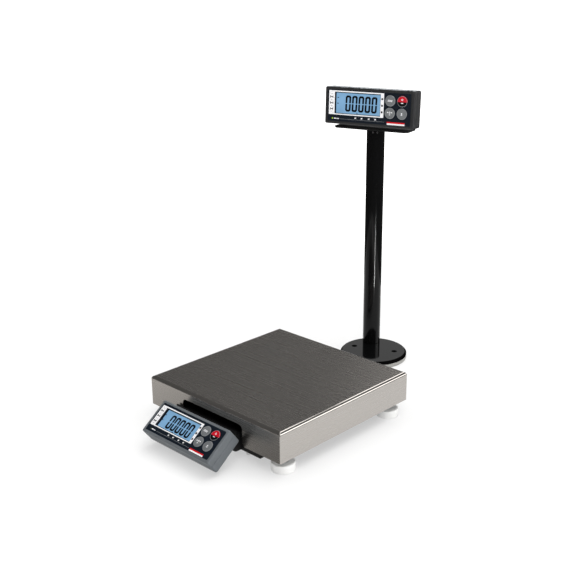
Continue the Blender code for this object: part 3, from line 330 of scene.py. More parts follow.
MAT |= {
    "stainless": brushed("stainless", STEEL, 0.27),
    "stainless_fold": brushed("stainless_fold", STEEL, 0.11),
    "board": circuit("board", (0.015, 0.15, 0.055)),
    "level_green": clear_green("level_green"),
    "lcd": backlit("lcd", (0.168, 0.325, 0.50), (0.215, 0.405, 0.62)),
    "light_grey": foam("light_grey", (0.40, 0.395, 0.375)),
    # the white ink's glow is painted light: nothing behind the print lights it
    "ink_white": printed("ink_white", (0.86, 0.86, 0.88), 0.3),
    "lamp_lit": printed("lamp_lit", (0.38, 0.62, 0.02), 0.9),
}


# ---------------------------------------------------------------- mesh tools

# Every add_ function puts one closed shape into a bmesh; mat is the index of its material.


def round_rect(width, height, radius, steps=4, centre=(0.0, 0.0)):
    """Rectangle with round corners, counter-clockwise."""
    radius = max(radius, 1e-6)
    points = []
    corners = ((1, 1), (-1, 1), (-1, -1), (1, -1))
    for index, (sx, sy) in enumerate(corners):
        x = centre[0] + sx * (width / 2 - radius)
        y = centre[1] + sy * (height / 2 - radius)
        for step in range(steps + 1):
            angle = (index + step / steps) * pi / 2
            points.append((x + radius * cos(angle), y + radius * sin(angle)))
    return points


def circle(x, y, radius, steps=48):
    turns = [2 * pi * step / steps for step in range(steps)]
    return [(x + radius * cos(turn), y + radius * sin(turn)) for turn in turns]


def add_loft(bm, rings, mat=0, closed=False, matrix=None):
    """Rings of the same count joined in order; the ends are capped, or joined when closed."""
    matrix = matrix or Matrix.Identity(4)
    levels = [[bm.verts.new(matrix @ Vector(point)) for point in ring] for ring in rings]
    count = len(rings[0])
    pairs = list(zip(levels, levels[1:]))
    if closed:
        pairs.append((levels[-1], levels[0]))
    for lower, upper in pairs:
        for index in range(count):
            after = (index + 1) % count
            face = bm.faces.new((lower[index], lower[after], upper[after], upper[index]))
            face.material_index = mat
    if not closed:
        bm.faces.new(levels[0]).material_index = mat
        bm.faces.new(levels[-1]).material_index = mat


def flat(outline, height):
    return [(x, y, height) for x, y in outline]


def quarter(steps):
    """Angles from 0 to 90 degrees, in radians."""
    return [pi / 2 * step / steps for step in range(steps + 1)]


def add_prism(bm, outline, low, high, mat=0, matrix=None, soften=0.0):
    """Outline pushed along Z; soften rounds both ends by insetting towards the outline's middle."""
    if not soften:
        add_loft(bm, [flat(outline, low), flat(outline, high)], mat, matrix=matrix)
        return
    middle = sum((Vector(point) for point in outline), Vector((0, 0))) / len(outline)

    def inset(amount):
        moved = []
        for point in outline:
            away = Vector(point) - middle
            moved.append(tuple(middle + away * max(0.0, 1 - amount / max(away.length, 1e-9))))
        return moved

    part = soften * 0.3
    rings = [flat(inset(soften), low), flat(inset(part), low + part), flat(outline, low + soften),
             flat(outline, high - soften), flat(inset(part), high - part), flat(inset(soften), high)]
    add_loft(bm, rings, mat, matrix=matrix)


def add_block(bm, low, high, radius, mat=0, matrix=None, soften=0.0):
    """Box with round upright edges."""
    low = Vector(low)
    high = Vector(high)
    centre = ((low.x + high.x) / 2, (low.y + high.y) / 2)
    outline = round_rect(high.x - low.x, high.y - low.y, radius, 3, centre)
    add_prism(bm, outline, low.z, high.z, mat, matrix, soften)


def add_plate(bm, outline, holes, low, high, mat=0, matrix=None):
    """A flat plate with holes through it."""
    matrix = matrix or Matrix.Identity(4)
    loops = [outline, *holes]
    triangles = tessellate_polygon([[Vector((x, y, 0)) for x, y in loop] for loop in loops])
    points = [point for loop in loops for point in loop]
    bottom = [bm.verts.new(matrix @ Vector((x, y, low))) for x, y in points]
    top = [bm.verts.new(matrix @ Vector((x, y, high))) for x, y in points]
    for triangle in triangles:
        bm.faces.new([bottom[index] for index in triangle]).material_index = mat
        bm.faces.new([top[index] for index in triangle]).material_index = mat
    start = 0
    for loop in loops:
        count = len(loop)
        for index in range(count):
            first = start + index
            after = start + (index + 1) % count
            bm.faces.new((bottom[first], bottom[after], top[after], top[first])).material_index = mat
        start += count


def add_lathe(bm, profile, steps=64, mat=0, matrix=None):
    """A closed (radius, height) profile turned about Z; radius 0 lies on the axis."""
    matrix = matrix or Matrix.Identity(4)
    rings = []
    for radius, height in profile:
        if radius == 0:
            rings.append([bm.verts.new(matrix @ Vector((0, 0, height)))])
        else:
            ring = circle(0, 0, radius, steps)
            rings.append([bm.verts.new(matrix @ Vector((x, y, height))) for x, y in ring])
    pairs = list(zip(rings, rings[1:]))
    if profile[0][0] and profile[-1][0]:
        pairs.append((rings[-1], rings[0]))
    for lower, upper in pairs:
        for step in range(steps):
            after = (step + 1) % steps
            corners = [lower[step % len(lower)], lower[after % len(lower)]]
            corners += [upper[after % len(upper)], upper[step % len(upper)]]
            unique = list(dict.fromkeys(corners))
            if len(unique) > 2:
                bm.faces.new(unique).material_index = mat


def rounding(radius, height, size, start, end, steps=4):
    """Part of a round edge in a lathe profile, about (radius, height); angles in degrees."""
    turns = [radians(start + (end - start) * step / steps) for step in range(steps + 1)]
    return [(radius + size * cos(turn), height + size * sin(turn)) for turn in turns]


def store(bm, mesh):
    """Turns a bmesh's faces outwards and writes it into a mesh."""
    bmesh.ops.recalc_face_normals(bm, faces=bm.faces)
    bm.to_mesh(mesh)
    bm.free()


def linked(name, data):
    """A new object in the scene."""
    thing = bpy.data.objects.new(name, data)
    bpy.context.scene.collection.objects.link(thing)
    return thing


def carved(piece, cutter):
    """Cuts a helper bmesh, given in the piece's own space, out of a piece."""
    mesh = bpy.data.meshes.new("cutter")
    store(cutter, mesh)
    helper = linked("cutter", mesh)
    step = piece.modifiers.new("carve", "BOOLEAN")
    step.operation = "DIFFERENCE"
    step.solver = "EXACT"
    step.object = helper
    graph = bpy.context.evaluated_depsgraph_get()
    result = bpy.data.meshes.new_from_object(piece.evaluated_get(graph))
    piece.modifiers.remove(step)
    piece.data = result
    bpy.data.objects.remove(helper)
    bpy.data.meshes.remove(mesh)


def model(name, bm, materials):
    """An object from a bmesh given in the row frame."""
    mesh = bpy.data.meshes.new(name)
    store(bm, mesh)
    for material in materials:
        mesh.materials.append(MAT[material])
    return linked(name, mesh)


def fit(piece, body, replaces=(), sharp=32):
    """Shading, body and the CAD nodes a piece stands for."""
    piece.data.shade_smooth()
    piece.data.set_sharp_from_angle(angle=radians(sharp))
    even = piece.modifiers.new("even_normals", "WEIGHTED_NORMAL")
    even.keep_sharp = True
    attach(piece, body)
    if replaces:
        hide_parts(*replaces)
    return piece


def made(name, bm, material, body, replaces=()):
    """A whole piece: mesh, materials, shading, body and the CAD nodes it stands for."""
    names = [material] if isinstance(material, str) else material
    return fit(model(name, bm, names), body, replaces)


def turned(name, profile, steps, place, material, body, replaces=()):
    """A turned piece in one call."""
    bm = bmesh.new()
    add_lathe(bm, profile, steps, matrix=place)
    return made(name, bm, material, body, replaces)


def measure(node):
    """Low corner, high corner and middle of a CAD node."""
    low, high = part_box(node)
    return low, high, (low + high) / 2


def centre_of(node):
    return measure(node)[2]


def pole_radius():
    low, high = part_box("pole")
    return (high.x - low.x) / 2


def at(x, y, z=0.0):
    return Matrix.Translation((x, y, z))


# ---------------------------------------------------------------- platter


def build_platter():
    low, high, middle = measure("platter")
    side = high.x - low.x
    here = at(middle.x, middle.y)

    def ring(inset, height, radius):
        return flat(round_rect(side - 2 * inset, side - 2 * inset, radius, 6), height)

    rings = [ring(0.5 * MM, low.z, CORNER), ring(0.15 * MM, low.z + 0.15 * MM, CORNER),
             ring(0, low.z + 0.5 * MM, CORNER)]
    for turn in quarter(12):
        inset = FOLD * (1 - cos(turn))
        rings.append(ring(inset, high.z - FOLD * (1 - sin(turn)), max(0.2 * MM, CORNER - inset * 0.4)))
    bm = bmesh.new()
    add_loft(bm, rings, matrix=here)
    bm.normal_update()
    for face in bm.faces:
        if face.calc_center_median().z > high.z - FOLD and abs(face.normal.z) < 0.99:
            face.material_index = 1
    platter = model("weighing_platter", bm, ["stainless", "stainless_fold"])
    bm = bmesh.new()
    add_loft(bm, [ring(SHEET, low.z - 2 * MM, 1.0 * MM), ring(SHEET, high.z - SHEET - 1 * MM, 1.0 * MM),
                  ring(SHEET + 1 * MM, high.z - SHEET, 0.4 * MM)], matrix=here)
    carved(platter, bm)
    x = NOTCH_HALF - NOTCH_TOP_ROUND
    z = low.z + NOTCH_RISE - NOTCH_TOP_ROUND
    outline = [(x + NOTCH_TOP_ROUND * sin(turn), z + NOTCH_TOP_ROUND * cos(turn)) for turn in quarter(8)]
    x = NOTCH_HALF + NOTCH_FOOT_ROUND
    z = low.z + NOTCH_FOOT_ROUND
    outline += [(x - NOTCH_FOOT_ROUND * cos(turn), z - NOTCH_FOOT_ROUND * sin(turn))
                for turn in quarter(8)]
    outline.append((x, low.z - 2 * MM))
    outline += [(-x, z) for x, z in reversed(outline)]
    bm = bmesh.new()
    upright = Matrix.Translation((middle.x, low.y, 0)) @ Matrix.Rotation(pi / 2, 4, "X")
    add_prism(bm, outline, -3 * MM, 3 * MM, matrix=upright)
    carved(platter, bm)
    fit(platter, "platter", ["platter"], 28)


# ---------------------------------------------------------------- feet and base


def build_feet():
    for corner in CORNERS:
        pad = f"foot_pad_{corner}"
        low, high, middle = measure(pad)
        here = at(middle.x, middle.y)
        top = high.z
        profile = [(0, 0), (17.6, 0), (18.6, 0.5), (19, 1.2), (19, 2.2), (18.7, 2.5), (18.7, 3.0),
                   (19, 3.3)]
        profile = [(out * MM, height * MM) for out, height in profile]
        profile += rounding(17 * MM, top - 2 * MM, 2 * MM, 0, 90, 6)
        profile += [(8.6 * MM, top), (8.2 * MM, top - 0.6 * MM), (4.4 * MM, top - 0.6 * MM),
                    (4.4 * MM, top - 5.8 * MM), (0, top - 5.8 * MM)]
        body = f"foot_{corner}"
        turned(f"levelling_foot_{corner}", profile, 72, here, "white_plastic", body, [pad])
        low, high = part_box(f"foot_stud_{corner}")
        rod = [(0, low.z), (3.2 * MM, low.z)]
        for turn in range(int((high.z - low.z - 2 * MM) / THREAD_PITCH)):
            height = low.z + 0.6 * MM + turn * THREAD_PITCH
            rod += [(3.35 * MM, height), (4.0 * MM, height + THREAD_PITCH * 0.4),
                    (4.0 * MM, height + THREAD_PITCH * 0.6)]
        rod += [(3.35 * MM, high.z - 0.9 * MM), (2.9 * MM, high.z), (0, high.z)]
        turned(f"threaded_stud_{corner}", rod, 32, here, "zinc", body, [f"foot_stud_{corner}"])
        nut = high.z - NUT_DROP
        bm = bmesh.new()
        hexagon = circle(middle.x, middle.y, 7.4 * MM, 6)
        add_plate(bm, hexagon, [circle(middle.x, middle.y, 4.3 * MM, 24)], nut, nut + NUT_HEIGHT)
        made(f"lock_nut_{corner}", bm, "zinc", "base")


def add_screw(bm, head_radius, head_height, shank_radius, length, matrix, socket):
    """Button-headed screw along Z, head up at z 0, shank down, with a round socket."""
    dome = [(0, -length), (shank_radius * 0.8, -length), (shank_radius, -length + shank_radius * 0.3)]
    dome += [(shank_radius, 0), (head_radius, 0)]
    dome += rounding(head_radius - head_height * 0.6, head_height * 0.4, head_height * 0.6, 0, 90, 5)
    dome += [(socket, head_height), (socket, head_height * 0.4), (0, head_height * 0.35)]
    add_lathe(bm, dome, 36, matrix=matrix)


def axis_frame(origin, direction):
    """Matrix with its Z along a direction."""
    turn = Vector(direction).to_track_quat("Z", "Y").to_matrix().to_4x4()
    return Matrix.Translation(origin) @ turn


def build_fasteners():
    for side in ("left", "right"):
        low, high, middle = measure(f"bracket_screw_{side}")
        bm = bmesh.new()
        add_screw(bm, 4.5 * MM, 2.6 * MM, 2.5 * MM, 8 * MM,
                  axis_frame((middle.x, low.y + 2.6 * MM, middle.z), (0, -1, 0)), 1.6 * MM)
        made(f"bracket_bolt_{side}", bm, "zinc", "base", [f"bracket_screw_{side}"])
    for index in ("1", "2"):
        middle = centre_of(f"pole_grub_screw_{index}")
        pole = centre_of("pole")
        out = Vector((middle.x - pole.x, middle.y - pole.y, 0)).normalized()
        bm = bmesh.new()
        seat = Vector((pole.x, pole.y, middle.z)) + out * (pole_radius() + 0.2 * MM)
        add_screw(bm, 1.7 * MM, 0.9 * MM, 1.3 * MM, 2 * MM, axis_frame(seat, out), 0.8 * MM)
        made(f"set_screw_{index}", bm, "dark_zinc", "base", [f"pole_grub_screw_{index}"])
    for level, way in (("lower", -1), ("upper", 1)):
        for place in ("front", "back"):
            node = f"cell_bolt_{level}_{place}"
            low, high, middle = measure(node)
            head = low.z + 4.5 * MM if way < 0 else high.z - 4.5 * MM
            bm = bmesh.new()
            add_screw(bm, 5 * MM, 4.5 * MM, 2.7 * MM, high.z - low.z - 4.5 * MM,
                      axis_frame((middle.x, middle.y, head), (0, 0, way)), 2.5 * MM)
            made(f"cell_screw_{level}_{place}", bm, "zinc", "base", [node])


def build_board_parts():
    """Components on the converter board under the platter."""
    low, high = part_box("converter_board")
    here = at((low.x + high.x) / 2, (low.y + high.y) / 2, high.z)
    bm = bmesh.new()
    for left, front, right, back, top, corner in ((-12, -6, 2, 8, 2.4, 0.6), (10, -4, 18, 2, 2.0, 0.4)):
        near = (left * MM, front * MM, 0.3 * MM)
        far = (right * MM, back * MM, top * MM)
        add_block(bm, near, far, corner * MM, matrix=here, soften=0.2 * MM)
    for column in range(3):
        x = (8 + 6 * column) * MM
        add_block(bm, (x, 7 * MM, 0.2 * MM), (x + 3.2 * MM, 8.6 * MM, 1.0 * MM), 0.2 * MM, matrix=here)
    made("board_chips", bm, "chip", "base")
    bm = bmesh.new()
    for pin in range(10):
        x = (-11.5 + 1.4 * pin) * MM
        for y in (-7.2 * MM, 8.0 * MM):
            far = (x + 0.6 * MM, y + 1.2 * MM, 0.5 * MM)
            add_block(bm, (x, y, 0.05 * MM), far, 0.1 * MM, matrix=here)
    made("board_chip_legs", bm, "zinc", "base")
    bm = bmesh.new()
    for count, x in ((4, -34), (6, 20)):
        far = ((x + count * 2.5 + 2) * MM, -15 * MM, 6.2 * MM)
        add_block(bm, (x * MM, -22 * MM, 0.1 * MM), far, 0.5 * MM, matrix=here, soften=0.4 * MM)
    made("board_connectors", bm, "nylon", "base")
    bm = bmesh.new()
    for x, y, radius in ((-24, 10, 3.1), (-16, 15, 2.5), (27, 14, 3.6)):
        can = [(0, 0.1), (radius, 0.1), (radius, 1.2), (radius - 0.3, 1.6), (radius, 2.0), (radius, 6.6),
               (radius - 0.4, 7.0), (0, 6.9)]
        can = [(out * MM, height * MM) for out, height in can]
        add_lathe(bm, can, 32, matrix=here @ at(x * MM, y * MM))
    made("board_capacitors", bm, "aluminium", "base")


# ---------------------------------------------------------------- displays


def face_frame(name):
    """Matrix from face millimetres (x across, y up the face, z out of it) to the row frame."""
    across = Vector(JOINTS[f"{name}_tilt"]["axis"]).normalized()
    out = -Vector(JOINTS[f"{name}_key_units_press"]["axis"]).normalized()
    up = out.cross(across)
    points = [vertex.co for vertex in NODES[f"{name}_overlay"].data.vertices]
    spans = []
    for axis in (across, up, out):
        reach = [axis.dot(point) for point in points]
        spans.append((min(reach), max(reach)))
    scale = (spans[0][1] - spans[0][0] + 0.6 * MM) / (PANEL_WIDTH * MM)
    centre = across * sum(spans[0]) / 2 + up * sum(spans[1]) / 2 + out * (spans[2][1] - 0.2 * MM * scale)
    turn = Matrix((across, up, out)).transposed().to_4x4()
    return Matrix.Translation(centre) @ turn @ Matrix.Scale(scale * MM, 4)


# window (width, height, middle x, middle y); digits (first x, pitch, low, high); badge's left end;
# rise of the marks round the window
LAYOUT = {
    "operator": {"window": (79.5, 31.5, -18.0, 3.0), "digits": (-37.6, 11.25, -10.2, 14.4),
                 "badge": 31.4, "rise": 0.0},
    "customer": {"window": (80.6, 33.6, -19.2, 4.3), "digits": (-37.6, 11.7, -9.0, 17.0),
                 "badge": 33.6, "rise": 3.2},
}
KEY_PLACES = {"units": (38.0, 13.0), "power": (58.8, 13.0), "tare": (38.0, -6.5), "send": (58.8, -6.5)}


def window(name, margin=0.0):
    """Outline of a display's window, grown by a margin."""
    width, height, x, y = LAYOUT[name]["window"]
    return round_rect(width + 2 * margin, height + 2 * margin, 0.8 + max(margin, -0.6), 3, (x, y))


def panel_holes(name, margin=0.0):
    """The window and the four key holes, as outlines."""
    return [window(name, margin)] + [circle(x, y, KEY_HOLE) for x, y in KEY_PLACES.values()]


def face_ring(inset, level, radius):
    """Housing outline at a level, drawn in by an inset."""
    return flat(round_rect(FACE_WIDTH - 2 * inset, FACE_HEIGHT - 2 * inset, radius, 5), level)


def add_bar(bm, start, end, width, base, mat, matrix, thick=INK):
    """A straight printed stroke."""
    first = Vector(start)
    run = Vector(end) - first
    side = Vector((-run.y, run.x)).normalized() * width / 2
    corners = [first - side, first + run - side, first + run + side, first + side]
    add_prism(bm, [tuple(point) for point in corners], base, base + thick, mat, matrix)


def add_ring(bm, x, y, outer, inner, base, mat, matrix, gap=0.0):
    """A printed ring, with an opening of that many degrees at the top."""
    if not gap:
        add_plate(bm, circle(x, y, outer, 40), [circle(x, y, inner, 40)], base, base + INK, mat, matrix)
        return
    start = radians(90 + gap / 2)
    end = radians(450 - gap / 2)
    turns = [start + (end - start) * step / 28 for step in range(29)]
    outline = [(x + outer * cos(turn), y + outer * sin(turn)) for turn in turns]
    outline += [(x + inner * cos(turn), y + inner * sin(turn)) for turn in reversed(turns)]
    add_plate(bm, outline, [], base, base + INK, mat, matrix)


def build_front_housing(name, matrix, shell):
    border = (FACE_WIDTH - PANEL_WIDTH) / 2
    rings = [face_ring(border, -0.6, 1.5), face_ring(border, -0.15, 1.5),
             face_ring(border - 0.15, 0.0, 1.6)]
    for turn in quarter(7):
        inset = FRONT_EDGE * (1 - sin(turn))
        rings.append(face_ring(inset, -FRONT_EDGE * (1 - cos(turn)), FRONT_EDGE - inset))
    rings += [face_ring(0.0, SPLIT_LEVEL + 0.3, FRONT_EDGE),
              face_ring(0.25, SPLIT_LEVEL, FRONT_EDGE - 0.2), face_ring(2.2, SPLIT_LEVEL, 1.0),
              face_ring(2.2, -2.8, 1.0), face_ring(border + 0.4, -2.8, 1.1)]
    bm = bmesh.new()
    add_loft(bm, rings, closed=True, matrix=matrix)
    add_plate(bm, round_rect(147.6, 51.6, 1.5, 4), panel_holes(name), -2.8, -0.62, matrix=matrix)
    for x in (65.7, 71.6):
        tab = matrix @ at(x, 29.6, -5.6) @ Matrix.Rotation(-pi / 2, 4, "X")
        add_block(bm, (-1.1, -1.9, 0.0), (1.1, 1.9, 1.15), 0.5, matrix=tab, soften=0.25)
    made(f"{name}_housing_front", bm, shell, f"{name}_display", [f"{name}_front_shell"])


def build_rear_housing(name, matrix, shell):
    back = BACK_LEVEL
    rings = [face_ring(2.2, -12.3, 1.0), face_ring(0.45, -12.3, 2.4), face_ring(0.3, -12.45, 2.6),
             face_ring(0.3, -12.9, 2.6), face_ring(0.0, -13.2, 2.9)]
    for turn in quarter(8):
        inset = REAR_EDGE * (1 - cos(turn))
        rings.append(face_ring(inset, back + REAR_EDGE * (1 - sin(turn)), max(0.3, 3.2 - inset * 0.7)))
    bm = bmesh.new()
    add_loft(bm, rings, matrix=matrix)
    rear = model(f"{name}_housing_rear", bm, [shell, "chip"])
    bm = bmesh.new()
    add_loft(bm, [face_ring(2.2, -11.5, 1.0), face_ring(2.2, back + 2.2, 1.0)], matrix=matrix)
    carved(rear, bm)
    bm = bmesh.new()
    recess = round_rect(60, 26, 2.0, 4, (20, -6))
    add_loft(bm, [flat(recess, back - 1), flat(recess, back + 0.5)], matrix=matrix)
    screws = [(x, y) for x in (-70, 70) for y in (-20, 20)]
    for x, y, radius, deep in [(x, y, 3.2, 1.2) for x, y in screws] + [(-35, -12, 4.5, 4)]:
        hole = [(0, back - 1), (radius, back - 1), (radius, back + deep), (0, back + deep)]
        add_lathe(bm, hole, 32, matrix=matrix @ at(x, y))
    carved(rear, bm)
    bm = bmesh.new()
    bm.from_mesh(rear.data)
    for x, y in screws:
        seat = matrix @ at(x, y, back + 1.2) @ Matrix.Rotation(pi, 4, "X")
        head = [(0, -0.2), (2.5, -0.2), (2.5, 0.5), (1.9, 0.9), (0.9, 0.9), (0.9, 0.3), (0, 0.3)]
        add_lathe(bm, head, 28, 1, seat)
    post = [(0, back + 2.0), (3, back + 2.0), (3, -9.4), (0, -9.4)]
    for x in (-60, 60):
        add_lathe(bm, post, 24, matrix=matrix @ at(x, -12))
    level, up = LUG_CENTRE
    sideways = Matrix(((0, 0, 1, 0), (0, 1, 0, 0), (1, 0, 0, 0), (0, 0, 0, 1)))
    lug = [(-29.6, up - LUG_RADIUS), (-29.6, up + LUG_RADIUS)]
    for step in range(15):
        turn = pi / 2 + pi * step / 14
        lug.append((level + LUG_RADIUS * cos(turn), up + LUG_RADIUS * sin(turn)))
    foot = [(-30.7, 12.5), (-29.5, 12.5), (-29.5, 23.5), (-30.7, 23.5)]
    for side in (-1, 1):
        turned_over = matrix @ at(side * LUG_OUT, 0) @ sideways
        add_plate(bm, lug, [circle(level, up, 2.3, 24)], -2.0, 2.0, matrix=turned_over)
        add_prism(bm, foot, -6.5, 6.5, matrix=turned_over)
    store(bm, rear.data)
    fit(rear, f"{name}_display", [f"{name}_rear_shell"])


def zero_halves(x, low, high, width, stroke, cut):
    """Upper and lower arches of a seven-segment zero, as outlines."""
    middle = (low + high) / 2
    left = x - width / 2
    right = x + width / 2
    tip = middle + 0.2
    shoulder = tip + stroke * 0.3
    arch = high - stroke
    part = cut * 0.3
    upper = [(left, shoulder), (left, high - cut), (left + cut, high), (right - cut, high),
             (right, high - cut), (right, shoulder), (right - stroke * 0.5, tip),
             (right - stroke, shoulder), (right - stroke, arch - part), (right - stroke - part, arch),
             (left + stroke + part, arch), (left + stroke, arch - part), (left + stroke, shoulder),
             (left + stroke * 0.5, tip)]
    lower = [(px, 2 * middle - py) for px, py in upper]
    return upper, lower


def build_lcd(name, matrix):
    body = f"{name}_display"
    x, y = LAYOUT[name]["window"][2:]
    back = GLASS_LEVEL - 1.0
    bm = bmesh.new()
    add_prism(bm, window(name, -0.3), back, GLASS_LEVEL, matrix=matrix)
    add_block(bm, (x - 46, y - 19.5, back - 2.8), (x + 46, y + 19.5, back), 0.4, 1, matrix)
    made(f"{name}_lcd_glass", bm, ["lcd", "ink_black"], body, [f"{name}_lcd"])
    bm = bmesh.new()
    add_plate(bm, window(name, -0.05), [window(name, -0.35)], -2.75, 0.1, matrix=matrix)
    made(f"{name}_window_liner", bm, "ink_black", body)
    bm = bmesh.new()
    slant = Matrix.Identity(4)
    slant[0][1] = 0.035
    first, pitch, low, high = LAYOUT[name]["digits"]
    under = GLASS_LEVEL + 0.02
    over = GLASS_LEVEL + 0.09
    for index in range(5):
        for outline in zero_halves(first + pitch * index, low, high, 9.8, 3.2, 2.3):
            add_plate(bm, outline, [], under, over, matrix=matrix @ slant)
    rise = LAYOUT[name]["rise"]
    arrows = [[(-57.0, tip - 1.3), (-54.4, tip), (-57.0, tip + 1.3)] for tip in (9.6 + rise, 0.2 + rise)]
    foot = -12.0 + rise * 0.3
    arrows.append([(-22.6, foot), (-19.6, foot), (-21.1, foot + 1.8)])
    for arrow in arrows:
        add_prism(bm, arrow, under, over, matrix=matrix)
    made(f"{name}_lcd_digits", bm, "segment", body)


def build_panel(name, matrix):
    """Printed panel: plate with openings, white frame, marks, lamp and badge."""
    body = f"{name}_display"
    layout = LAYOUT[name]
    rise = layout["rise"]
    top = PANEL_TOP
    ink = top + INK
    bm = bmesh.new()
    add_plate(bm, round_rect(146.9, 50.9, 1.2, 4), panel_holes(name, -0.1), -0.3, top, matrix=matrix)
    made(f"{name}_panel", bm, "overlay", body, [f"{name}_overlay"])
    bm = bmesh.new()
    width, height, x, y = layout["window"]
    right = x + width / 2
    high = y + height / 2
    low = y - height / 2
    outer = round_rect(98.4, high - low + 5.1, 0.5, 2, (-22.2, (high + low + 0.9) / 2))
    centre = ((right - 60.8) / 2, (high + low + 0.6) / 2)
    inner = round_rect(right + 61.2, high - low + 1.6, 0.4, 2, centre)
    add_plate(bm, outer, [inner], top, ink, 0, matrix)
    add_bar(bm, (-50.5, -21.2), (28.5, -21.2), 0.35, top, 1, matrix)
    y = -18.3
    for index, x in enumerate((-22.6, -11.3, 1.6, 13.1)):
        mark = [(x - 1.5, y - 1.1), (x + 0.5, y - 1.1), (x + 0.5, y + 1.2), (x - 1.5, y + 0.3 * index)]
        add_prism(bm, mark, top, ink, 0, matrix)
        add_bar(bm, (x + 1.1, y - 1.2), (x + 1.1, y + 1.2), 0.5, top, 0, matrix)
    add_block(bm, (-61.6, -21.6, top), (-57.6, -20.0, ink), 0.4, 0, matrix)
    add_block(bm, (-56.9, -21.5, top), (-52.4, -20.3, ink), 0.4, 0, matrix)
    left = layout["badge"]
    for level, mat in ((-22.5, 3), (-24.9, 0)):
        add_block(bm, (left, level, top), (left + 30.8, level + 2.4, ink + 0.01), 0.2, mat, matrix)
    for index, level in enumerate((17.2, 12.4, 7.4, 2.6, -2.0, -6.9, -11.2)):
        y = level + rise * 0.4
        if index % 2:
            for x in (-68.9, -64.3):
                add_bar(bm, (x, y - 1.8), (x, y + 1.8), 1.3, ink, 2, matrix, 0.04)
            add_bar(bm, (-67.9, y), (-65.3, y), 1.5, ink, 2, matrix, 0.04)
        else:
            add_bar(bm, (-68.4, y), (-64.8, y), 0.7, ink, 1, matrix, 0.04)
    for level in (13.8, 3.4, -6.9):
        y = level + rise * 0.35
        add_prism(bm, round_rect(3.0, 3.5, 1.0, 4, (24.0, y)), ink, ink + 0.04, 2, matrix)
    made(f"{name}_panel_print", bm, ["ink_white", "ink_grey", "ink_black", "ink_red"], body)
    dome = [(0, top), (0.9, top), (0.85, top + 0.15), (0.5, top + 0.3), (0, top + 0.36)]
    finish = "lamp_lit" if name == "customer" else "lamp"
    turned(f"{name}_panel_lamp", dome, 24, matrix @ at(-64.5, -20.8), finish, body)


def key_icon(bm, key, base, matrix):
    """A generic symbol on each key: two arrows, power, zero between arrows, an arrow up."""
    top = base + INK

    def shape(points):
        add_prism(bm, points, base, top, 0, matrix)

    if key == "units":
        shape([(-4.4, 0.5), (-2.2, 2.1), (-2.2, 1.3), (4.2, 1.3), (4.2, 0.5)])
        shape([(4.4, -0.3), (2.2, -1.9), (2.2, -1.1), (-4.2, -1.1), (-4.2, -0.3)])
    elif key == "power":
        add_ring(bm, 0, 2.9, 1.7, 1.0, base, 0, matrix, 80)
        add_bar(bm, (0, 2.9), (0, 4.9), 0.7, base, 0, matrix)
        add_block(bm, (-2.0, -3.3, base), (2.0, -1.9, top), 0.5, 0, matrix)
    elif key == "tare":
        shape([(-4.3, 2.5), (-2.0, 1.2), (-4.3, -0.1)])
        shape([(4.3, 2.5), (4.3, -0.1), (2.0, 1.2)])
        add_ring(bm, 0, 1.2, 1.5, 0.7, base, 0, matrix)
        shape([(-1.6, -1.9), (0, -3.5), (1.6, -1.9)])
    else:
        shape([(-1.7, 0.1), (1.7, 0.1), (0, 2.1)])
        add_bar(bm, (0, -1.3), (0, 0.2), 1.0, base, 0, matrix)
        add_bar(bm, (-1.6, -1.9), (1.6, -1.9), 0.7, base, 0, matrix)


def build_keys(name, matrix):
    for key in KEYS:
        x, y = KEY_PLACES[key]
        here = matrix @ at(x, y)
        cap = [(0, 1.0), (2.5, 0.985), (5.0, 0.94), (7.0, 0.86), (7.9, 0.80), (8.25, 0.74),
               (8.55, 0.56), (8.74, 0.3), (8.8, 0.0), (8.8, -3.1), (9.4, -3.1), (9.4, -4.1), (3, -4.1),
               (3, -5.3), (0, -5.3)]
        bm = bmesh.new()
        add_lathe(bm, cap, 64, matrix=here)
        if key == "power":
            normal = (here.to_3x3() @ Vector((0, 1, 0))).normalized()
            parts = bm.verts[:] + bm.edges[:] + bm.faces[:]
            split = here @ Vector((0, -0.9, 0))
            bmesh.ops.bisect_plane(bm, geom=parts, plane_co=split, plane_no=normal)
            for face in bm.faces:
                if (face.calc_center_median() - split).dot(normal) < 0:
                    face.material_index = 1
            finish = ["red_key", "ink_black"]
        else:
            finish = ["grey_key"]
        body = f"{name}_key_{key}"
        made(f"{name}_keycap_{key}", bm, finish, body, [body])
        bm = bmesh.new()
        band = [(7.95, 0.80), (8.0, 0.86), (8.3, 0.80), (8.5, 0.66), (8.45, 0.6)]
        add_lathe(bm, band, 64, 1, here)
        key_icon(bm, key, 1.0, here)
        made(f"{name}_keymark_{key}", bm, ["ink_white", "ink_grey"], body)


def build_board_details(name, matrix):
    """Soldered parts on the back of the display's board, seen only with the housing open."""
    bm = bmesh.new()
    for x, y, w, h in ((-45, 8, 12, 12), (5, 10, 9, 6), (35, 6, 7, 7), (20, -14, 14, 5)):
        add_block(bm, (x, y, -11.2), (x + w, y + h, -9.2), 0.4, matrix=matrix, soften=0.2)
    made(f"{name}_board_parts", bm, "chip", f"{name}_display")


def build_displays():
    for name, shell in zip(DISPLAYS, ("grey_shell", "dark_shell")):
        matrix = face_frame(name)
        build_front_housing(name, matrix, shell)
        build_rear_housing(name, matrix, shell)
        build_lcd(name, matrix)
        build_panel(name, matrix)
        build_keys(name, matrix)
        build_board_details(name, matrix)


# ---------------------------------------------------------------- pole stand


